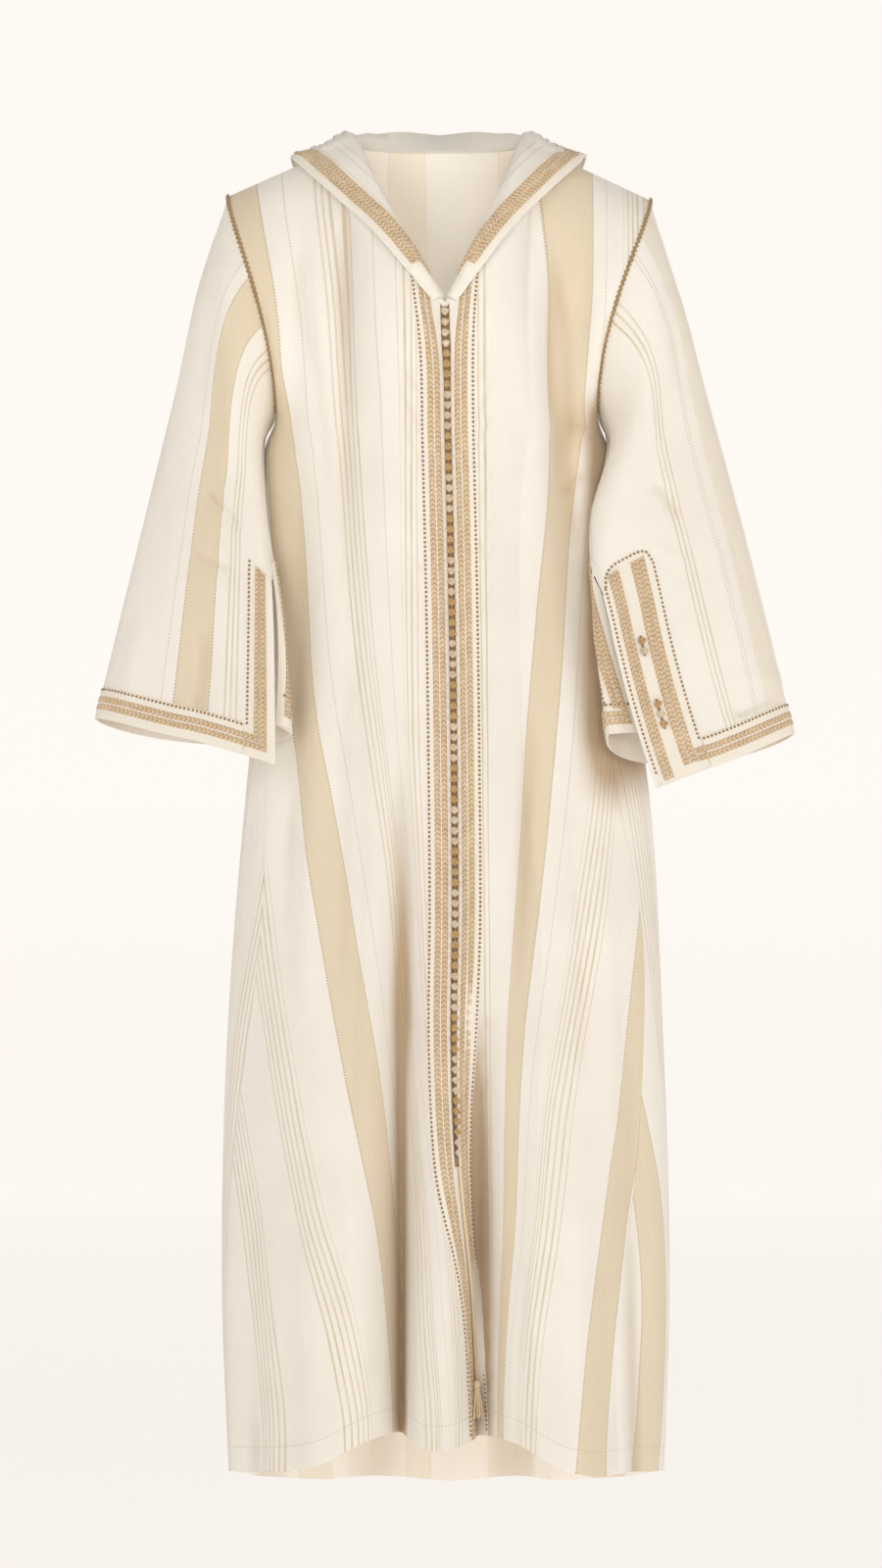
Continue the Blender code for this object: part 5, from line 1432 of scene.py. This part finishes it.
def cloth_under(fronts, backs):
    """Points and normals of the body, thinned out, that the sleeves and hood are kept clear of."""
    found = []
    for name, side in SHOULDERS.items():
        for points, sign in ((fronts[name], side.side), (backs[name], -side.side)):
            found.append([grid[::2, ::3].reshape(-1, 3) for grid in (points, grid_normals(points) * sign)])
    return [np.concatenate(grids) for grids in zip(*found)]


def hanging_sleeve(name, front, back, under):
    """Grid of a sleeve on its armhole, clear of the body; its shares round and distances down."""
    armhole = np.concatenate([front[:YOKE_ROWS + 1, -1][::-1], back[1:YOKE_ROWS + 1, -1]])
    stand_off = np.abs(np.linspace(-1.0, 1.0, 2 * YOKE_ROWS + 1)) ** 4 * UNDERARM_EASE
    ring = armhole + SHOULDERS[name].side * stand_off[:, None] * np.array([1.0, 0.0, 0.0])
    hanging, share, down = sleeve_grid(name, ring)
    beside = ease((CHEST_Z + 0.04 - hanging[..., 2]) / 0.05)
    return lift_clear(hanging, under, SLEEVE_LIFT * beside - (1 - beside)), share, down


def crease_rise(name, points, flat, down, share):
    """How far creases and puckers lift the points of a panel along its plain normals."""
    rise = crease_shift(points, name, "front") * ease((0.25 - flat[..., 1]) / 0.3)
    rise += crease_shift(points, name, "back") * ease((0.25 + flat[..., 1]) / 0.3)
    if name.startswith("front"):
        reach = reach_across(points)
        if name == "front_left":
            reach = reach[:, -1:] - reach
        rise *= ease((reach - CALM_BESIDE_OPENING) / 0.02)
        rise += puckers(points, reach, reach_down(points))
    if name.startswith("sleeve"):
        rise *= ease((down - CALM_AT_CUFF) / 0.03)
        edge = np.minimum(share, 1 - share) * SLEEVE_ROUND
        rise *= np.where(points[..., 2] < CALM_SLIT_LEVEL, ease((edge - CALM_BESIDE_SLIT) / 0.02), 1.0)
    return rise * seam_fade(rise.shape, EDGES[name])


def body_panels():
    """Creased grids and normals of all the panels but the hood, the sleeves' distances from
    the cuff and shares of the way round, and the cloth under them."""
    fronts = {name: half_panel(name, "front", FRONT_COLUMNS) for name in SHOULDERS}
    backs = {name: half_panel(name, "back", BACK_COLUMNS) for name in SHOULDERS}
    under = cloth_under(fronts, backs)
    grids = {"front_left": fronts["left"][:, ::-1], "front_right": fronts["right"],
             "back": np.concatenate([backs["right"][:, ::-1], backs["left"][:, 1:]], axis=1)}
    for points in grids.values():
        push = SIDE_PUSH * ease((np.abs(points[..., 0]) - SIDE_PUSH_FROM) / 0.03)
        z = points[..., 2]
        push *= ease((SIDE_PUSH_TOP - z) / 0.04) * ease((z - SIDE_PUSH_FOOT) / 0.10)
        points[..., 0] += push * np.sign(points[..., 0])
    shares, downs = {}, {}
    for side in SHOULDERS:
        name = "sleeve_" + side
        grids[name], shares[name], downs[name] = hanging_sleeve(side, fronts[side], backs[side], under)
    normals = {}
    for name, points in grids.items():
        sign = -1.0 if name == "sleeve_left" else 1.0
        flat = grid_normals(points) * sign
        rise = crease_rise(name, points, flat, downs.get(name), shares.get(name))
        grids[name] = points + flat * rise[..., None]
        normals[name] = grid_normals(grids[name]) * sign
    join_normals(normals, grids)
    return grids, normals, downs, shares, under


def join_normals(normals, grids):
    """Make the panels' normals agree where they are sewn to each other."""
    for side in SHOULDERS.values():
        run = unit(np.array(side.tip) - np.array(side.neck))
        square = unit(np.array([-run[2], 0.0, run[0]]) * side.side)
        for name in ("front_left", "front_right", "back"):
            top = grids[name][0]
            on_seam = (top[:, 0] - side.neck[0]) * side.side > -0.001
            on_seam &= np.abs(top[:, 1] - side.neck[1]) < 0.006
            normals[name][0][on_seam] = square
    below = slice(YOKE_ROWS, None)
    agree(normals, ("front_left", (slice(None), -1)), ("front_right", (slice(None), 0)))
    agree(normals, ("front_left", (below, 0)), ("back", (below, -1)))
    agree(normals, ("front_right", (below, -1)), ("back", (below, 0)))
    for name, front_column, back_column in (("left", 0, -1), ("right", -1, 0)):
        sleeve = normals["sleeve_" + name][0]
        front = normals["front_" + name][:YOKE_ROWS + 1, front_column]
        back = normals["back"][:YOKE_ROWS + 1, back_column]
        body = np.concatenate([front[::-1], back[1:]])
        body[YOKE_ROWS] = unit(front[0] + back[0])
        shared = unit(unit(body) + sleeve)
        seam = slice(2, -2)
        sleeve[seam] = shared[seam]
        front[:-2] = shared[2:YOKE_ROWS + 1][::-1]
        back[:-2] = shared[YOKE_ROWS:-2]


def painted_shade(points, normals):
    """Painted shade of the body beside the sleeves, painted light where its strength is below 0, and painted
    shade in the fold beside the opening.
    """
    x, z, back = points[..., 0], points[..., 2], normals[..., 1]
    beside = ease((np.abs(x) - SHADE_FROM) / SHADE_WIDTH)
    beside *= ease((SHADE_TOP - z) / 0.08) * ease((z - SHADE_FOOT) / 0.12)
    beside *= ease((0.15 - back) / 0.3)      # none on what faces back
    shade = np.where(x > 0, *SHADE_STRENGTHS) * beside
    fold = ease((VALLEY_TOP - z) / 0.25) * (back < 0.3)
    return shade + VALLEY_STRENGTH * fold * np.exp(-((x - VALLEY_X) / VALLEY_WIDTH) ** 2)


def body_cloth(grids, normals, downs, shares, cloth, inside):
    """The shells of all the panels but the hood."""
    made = {}
    for name, points in grids.items():
        hollow = hollows(points, normals[name], HOLLOW_REACHES[name.split("_")[0]])
        joined = 0
        if name.startswith("sleeve"):
            u, v = shares[name] * SLEEVE_ROUND, -downs[name]
            joined = int(round(SLIT_TOP * SLEEVE_ROWS)) + 1
        else:
            hollow = np.clip(hollow + painted_shade(points, normals[name]), 0.0, 1.0)
            reach, v = reach_across(points), -reach_down(points)
            centre = points.shape[1] // 2
            if name == "back":
                u = BACK_CENTRE - (reach - reach[:, centre:centre + 1])
            elif name == "front_left":
                u = woven_places(points[:, ::-1], (reach[:, -1:] - reach)[:, ::-1], name)[:, ::-1]
            else:
                u = woven_places(points, reach, name)
        outer = draw_in(points, EDGES[name])
        inner = draw_in(points - normals[name] * CLOTH, EDGES[name])
        made[name] = shell("cloth_" + name, outer, inner, u, v, hollow, cloth[name],
                           inside.get(name), joined)
    return made


def creased_hood(under):
    """The hood's inner grid with its creases, and its outward normals."""
    hood = hood_grid(under)
    out = -grid_normals(hood)
    rise = crease_shift(hood, "hood", "front") * ease((0.4 - out[..., 1]) / 0.3)
    rise += crease_shift(hood, "hood", "back") * ease(out[..., 1] / 0.3)
    rise *= seam_fade(rise.shape, ("first_row",), rows=6)
    hood = hood + out * np.maximum(rise, -HOOD_CREASE_LIMIT)[..., None]
    return hood, -grid_normals(hood)


def front_sheets(grids, normals):
    """The fronts from the centre out. Down to the chest, distances run level across them."""
    sheets = {}
    for name in SHOULDERS:
        points, out = grids["front_" + name], normals["front_" + name]
        if name == "left":
            points, out = points[:, ::-1], out[:, ::-1]
        sideways = np.maximum.accumulate(np.abs(points[..., 0] - points[:, :1, 0]), axis=1)
        sideways += 1e-6 * np.arange(points.shape[1])
        level = ease((YOKE_ROWS + 12.0 - np.arange(len(points))) / 16.0)[:, None]
        sheets[name] = Sheet(points, out, level * sideways + (1 - level) * reach_across(points))
    return sheets


def stitch_line(sheet, distance, first=0.0, last=None, lift=FACING, shift=None):
    """A line of stitches on a sheet, and its outward normals."""
    line, out = sheet.strip([distance], first, last, shift)
    return line[:, 0] + out[:, 0] * lift, out[:, 0]


def front_trims(fronts, trims, braids):
    """Facing, a strip of painted shade in the slit, braid, stitches and hem of the two fronts."""
    rows = np.arange(YOKE_ROWS + BODY_ROWS + 1)
    spread = PLACKET_SPREAD * np.clip(1 - rows / PLACKET_SPREAD_ROWS, 0.0, 1.0) ** 2
    for name, sheet in fronts.items():
        slit_row = row_at_level(sheet.points[:, 0], SLIT_LEVEL)
        trims["facings"].append(facing(sheet, *PLACKET_FACING, 0.6, shift=spread))
        # painted shade: a thin dark strip along the opening, down to the open slit
        trims["opening_shades"].append(facing(sheet, *OPENING_SHADE_STRIP, 2.0, slit_row, thick=OPENING_SHADE_THICK))
        for (near, far), word in zip(PLACKET_BANDS, ("inner", "outer")):
            braids["placket_braid_%s_%s" % (name, word)] = [braid(sheet, near, far, 0.8, shift=spread)]
        trims["dots"].append(stitch_line(sheet, PLACKET_STITCH - PAST_STITCH, 1.0, shift=spread))
        trims["hems"].append(stitch_line(turned(sheet), HEM_STITCH, lift=0.0))


def slit_braid(name, front, back, top, bottom):
    """The braid beside a sleeve's slit, by its place, from the slit's top row down."""
    slit = SLITS[name]
    braids = {}
    for number, word in enumerate(("edge", "side")):
        near, far = slit.front_bands[number]
        middle = (near + far) / 2
        bands = ((near, far),)
        if far - near > WIDEST_BAND:
            bands = ((near, middle - BAND_GAP), (middle + BAND_GAP, far))
        strips = []
        for near, far in bands:
            if name == "left":
                end = row_of_cuff(front, near, CUFF_BANDS[number][0])
            else:
                end = bottom - SLIT_BRAID_FREE[number]
            strips.append(braid(front, near, far, top - 0.5 - 0.7 * slit.arch, end, lift=FACING * 2.2))
        braids[word] = strips
    near, far = slit.back_band
    middle = (near + far) / 2
    braids["back"] = [
        braid(back, near, middle - BACK_BAND_GAP, top - 0.5, bottom - 2.6, lift=FACING * 2),
        braid(back, middle + BACK_BAND_GAP, far, top - 0.5, bottom - 4.4, lift=FACING * 2)]
    return braids


def sleeve_trims(name, points, out, trims, braids):
    """Facings, braid and stitches of a sleeve's slit and cuff. Gives the cloth measured from
    the slit's front edge and from its back edge, and the slit's top row."""
    front, back = Sheet(points, out), Sheet(points[:, ::-1], out[:, ::-1])
    cuff = turned(front)
    slit = SLITS[name]
    top, bottom = SLIT_TOP * SLEEVE_ROWS, len(points) - 1.0
    trims["facings"] += [
        facing(front, FACING_START, slit.stitch + PAST_STITCH, top - 1 - slit.arch, corner=slit.arch),
        facing(back, FACING_START, slit.back_facing, top - 1),
        facing(cuff, FACING_START, CUFF_STITCH + PAST_STITCH, CUFF_FREE,
               len(cuff.points) - CUFF_FREE, over=FACING)]
    dots = trims["dots"]
    dots.append(stitch_line(cuff, CUFF_STITCH - PAST_STITCH, CUFF_FREE, lift=FACING * 2))
    for word, strips in slit_braid(name, front, back, top, bottom).items():
        braids["slit_braid_%s_%s" % (name, word)] = strips

    def column_at(distance):
        return float(np.interp(distance, front.reach[-1], np.arange(points.shape[1])))

    last = column_at(front.reach[-1, -1] - slit.back_band[0])
    for word, number in (("upper", 1), ("lower", 0)):
        near, far = CUFF_BANDS[number]
        first = column_at(slit.cuff_starts[number])
        braids["cuff_braid_%s_%s" % (name, word)] = [braid(cuff, near, far, first, last, lift=FACING * 2)]
    for sheet, distance in ((front, slit.stitch), (back, slit.back_stitch)):
        dots.append(stitch_line(sheet, distance, top - 1, bottom - 4.5))
    if slit.arch:
        dots.append(stitch_line(front, ARCH_START, top - 1, bottom - 1.0))
        aside = np.linspace(-1, 1, 15)
        line, arch_out = front.strip(np.linspace(ARCH_START, slit.stitch, 15),
                                     top - 0.7 - slit.arch * np.sqrt(1 - aside ** 4), bottom)
        dots.append((line[0] + arch_out[0] * FACING, arch_out[0]))
    trims["ropes"].append((points[0, 2:-2] + out[0, 2:-2] * ROPE_LIFT, out[0, 2:-2]))
    return front, back, top


def hood_trims(hood, hood_out, trims, braids):
    """Facing and braid on the hood's edge."""
    sheet = turned(Sheet(hood + hood_out * CLOTH, hood_out))
    last = len(sheet.points) - 1.0
    trims["facings"].append(facing(sheet, 0.0006, HOOD_FACING, HOOD_FREE, last - HOOD_FREE))
    for (near, far), word, free in zip(HOOD_BANDS, ("outer", "inner"), LAPEL_ROWS):
        braids["hood_braid_" + word] = [
            braid(sheet, near - HOOD_BAND_SPREAD, far + HOOD_BAND_SPREAD, free, last - free)]


def dress():
    """Make every piece: those that replace a node of the solids, and the extra ones."""
    grids, normals, downs, shares, under = body_panels()
    cloth = {name: striped_cloth(name, name) for name in list(grids) + ["hood"]}
    # inside finishes: the same cloth with painted light, an emission glow on the inner faces
    inside = {name: striped_cloth(name + "_inside", name, glow) for name, glow in PAINTED_THROUGH_GLOW.items()}
    face_cloth = plain_cloth("facing_cloth", FACE)
    gold = braided("gold_braid_woven", GOLD, GOLD_LIGHT)
    thread = cord_finish("gold_thread", THREAD_DARK, THREAD)
    rope = cord_finish("rope_thread", THREAD_DARK, ROPE_GOLD)
    tassel_thread = cord_finish("tassel_thread", tuple(0.7 * c for c in GOLD_LIGHT), GOLD_LIGHT)
    hem_thread = cord_finish("hem_thread", tuple(0.8 * c for c in HEM_THREAD), HEM_THREAD)
    # painted shade of the front's slit, also used for the knots' dark cores
    opening = plain_cloth("painted_opening_shade", OPENING_SHADE)
    white = plain_cloth("piping_cloth", CREAM)
    knot_cream = cord_finish("knot_cord_cream", KNOT_BROWN, KNOT_CREAM, 300.0)
    knot_gold = cord_finish("knot_cord_gold", KNOT_DARK, KNOT_GOLD, 300.0)

    # cloth
    made = body_cloth(grids, normals, downs, shares, cloth, inside)
    hood, hood_out = creased_hood(under)
    hood_down = reach_down(hood)
    made["hood"] = shell("cloth_hood", hood + hood_out * CLOTH, hood, hood_down[-1:] - hood_down,
                         reach_across(hood), hollows(hood, hood_out, HOLLOW_REACHES["hood"]),
                         cloth["hood"], inside["hood"])

    # trims, on sheets that they are measured on
    fronts = front_sheets(grids, normals)
    back = Sheet(grids["back"], normals["back"])
    trims = {kind: [] for kind in ("facings", "opening_shades", "dots", "hems", "ropes")}
    braids, sleeves = {}, {}
    front_trims(fronts, trims, braids)
    trims["hems"].append(stitch_line(turned(back), HEM_STITCH, lift=0.0))
    for name in SHOULDERS:
        sleeve = "sleeve_" + name
        sleeves[name] = sleeve_trims(name, grids[sleeve], normals[sleeve], trims, braids)
    hood_trims(hood, hood_out, trims, braids)
    for name, strips in braids.items():
        made[name] = laid_piece("gold_" + name, strips, gold)
    extra = {"facings": laid_piece("cream_facings", trims["facings"], face_cloth),
             "opening": laid_piece("front_opening_painted_shade", trims["opening_shades"], opening),
             "stitches": stitches("dotted_stitches", trims["dots"], thread),
             "hem": stitches("hem_stitches", trims["hems"], hem_thread, FINE_STITCH, FINE_PITCH),
             "ropes": stitches("armhole_rope", trims["ropes"], rope, ROPE, ROPE_PITCH, ROPE_SLANT)}

    # piping along free edges
    pipes = []
    for *sheets, top in sleeves.values():
        for sheet in sheets:
            pipes.append(stitch_line(sheet, 0.0, top, len(sheet.points) - 1.0, -CLOTH * 0.5)[0])
    pipes.append((hood[-1] + hood_out[-1] * CLOTH * 0.5)[1:-1])
    extra["piping"] = cord_piece("piping_cord", pipes, PIPING_RADIUS, white)
    neck = hood[0] + hood_out[0] * 0.0002
    extra["neck_seam"] = cord_piece("neck_seam_roll", [neck[3:-3]], NECK_ROLL_RADIUS, white, 6)

    # knots, on dark cores of painted shade
    front = fronts["right"]
    middle, middle_out = front.points[:, 0], front.normals[:, 0]
    places_down = KNOT_PITCH * (np.arange(KNOT_COUNT) + 0.9)
    made["button_knots"] = knots_piece("knotted_buttons", frames_at(middle, middle_out, places_down),
                                       (knot_cream, knot_gold, opening))
    line, out = stitch_line(sleeves["right"][0], SLEEVE_BUTTON_PLACE, lift=0.0)
    for pair in SLEEVE_BUTTONS:
        first = np.interp(-pair.level, -line[:, 2], lengths(line))
        places_down = first + KNOT_PITCH * (np.arange(pair.knots) - (pair.knots - 1) / 2)
        made["sleeve_buttons_" + pair.name] = knots_piece(
            "sleeve_knots_" + pair.name, frames_at(line, out, places_down),
            (knot_gold, knot_cream, opening), 1)

    # the open foot of the front: a gold cord along the edge, and the tassel
    start = row_at_level(middle, SLIT_LEVEL)
    end = row_at_level(middle, TASSEL_LEVEL + 0.004)
    cord = stitch_line(front, 0.0022, start, end, lift=0.0022)[0]
    extra["slit_cord"] = cord_piece("front_slit_cord", [cord], SLIT_CORD_RADIUS, tassel_thread)
    top_point = along(middle, np.interp(-TASSEL_LEVEL, -middle[:, 2], lengths(middle)))
    made["tassel"] = tassel_piece("gold_tassel", top_point + np.array(TASSEL_OFF), tassel_thread)

    for node, piece in made.items():
        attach(piece, "root")
        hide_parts(node)
    for name, piece in extra.items():
        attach(piece, "root")
    return made


# The worn cloth's own lengths, with 10 mm for each seam and 30 mm for each hem and turned edge.
# Width is that of the widest row; area is of the cut itself, which is no rectangle. The hood is
# a kite: two mirrored triangles of neck, front edge and centre line, 0.36, 0.52 and 0.67 long.
Cut = namedtuple("Cut", "width length area")


# ---------------------------------------------------------------- studio
def studio():
    """Pale round floor that curves up into a wall far outside every view, lights and camera."""
    mesh = bmesh.new()
    profile = [(reach, FLOOR_Z) for reach in (0.6, 3.0, 7.0, WALL_REACH - WALL_CURVE)]
    profile += [(WALL_REACH - WALL_CURVE * (1 - math.sin(a)), FLOOR_Z + WALL_CURVE * (1 - math.cos(a)))
                for a in np.linspace(0.0, math.pi / 2, 9)[1:]]
    profile.append((WALL_REACH, WALL_TOP))
    turns = np.linspace(0.0, 2 * math.pi, 49)[:-1]
    rings = [[mesh.verts.new((reach * math.cos(t), reach * math.sin(t), z)) for t in turns]
             for reach, z in profile]
    mesh.faces.new(rings[0])
    for low, high in zip(rings, rings[1:]):
        for k in range(len(turns)):
            mesh.faces.new([low[k - 1], high[k - 1], high[k], low[k]])
    ground = bpy.data.meshes.new("studio_ground")
    mesh.to_mesh(ground)
    mesh.free()
    ground.materials.append(studio_finish())
    ground.shade_smooth()
    made = bpy.data.objects.new("studio_ground", ground)
    bpy.context.scene.collection.objects.link(made)

    def area_light(name, place, target, size, power, colour, spread=180.0):
        data = bpy.data.lights.new(name, "AREA")
        data.spread = math.radians(spread)
        data.shape = "RECTANGLE"
        data.size, data.size_y = size
        data.energy = power
        data.color = colour
        lamp = bpy.data.objects.new(name, data)
        lamp.location = place
        direction = mathutils.Vector(target) - mathutils.Vector(place)
        lamp.rotation_euler = direction.to_track_quat("-Z", "Y").to_euler()
        bpy.context.scene.collection.objects.link(lamp)

    area_light("key", (-2.1, -3.6, 1.0), (0.0, 0.0, -0.7), (1.8, 2.2), KEY_POWER, LIGHT)
    area_light("front", (0.9, -5.6, 0.9), (0.0, 0.0, -0.6), (1.4, 1.0), FRONT_POWER, LIGHT)
    area_light("fill", (2.6, -2.4, 0.1), (0.0, 0.0, -0.8), (1.8, 2.2), FILL_POWER, LIGHT)
    area_light("neck", (0.0, -3.2, 0.5), (0.0, 0.05, -0.10), (0.3, 0.3), NECK_POWER, (1.0, 0.98, 0.95), 20.0)

    world = bpy.data.worlds.new("studio_world")
    world.use_nodes = True
    sky = world.node_tree.nodes["Background"]
    sky.inputs["Color"].default_value = (1.0, 0.94, 0.87, 1.0)
    sky.inputs["Strength"].default_value = WORLD_STRENGTH
    bpy.context.scene.world = world

    lens = bpy.data.cameras.new("camera")
    lens.sensor_fit = "VERTICAL"
    lens.sensor_height = 24.0
    lens.lens = CAMERA_LENS
    camera = bpy.data.objects.new("camera", lens)
    camera.location = CAMERA_PLACE
    camera.rotation_euler = (math.pi / 2, 0.0, 0.0)
    bpy.context.scene.collection.objects.link(camera)
    bpy.context.scene.camera = camera
    bpy.context.scene.view_settings.view_transform = "Standard"
    bpy.context.scene.view_settings.look = "None"


LIGHT = (1.0, 0.99, 0.97)
FLOOR_Z = -1.62
WALL_REACH, WALL_CURVE, WALL_TOP = 12.5, 0.9, 2.6
KEY_POWER = 31.5
FRONT_POWER = 40.0
FILL_POWER = 22.0
NECK_POWER = 0.10
WORLD_STRENGTH = 0.42
CAMERA_PLACE = (-0.002, -10.0, -0.680)
CAMERA_LENS = 142.86        # with a 24 mm high sensor it shows 1.68 m at the robe's middle


dress()
studio()
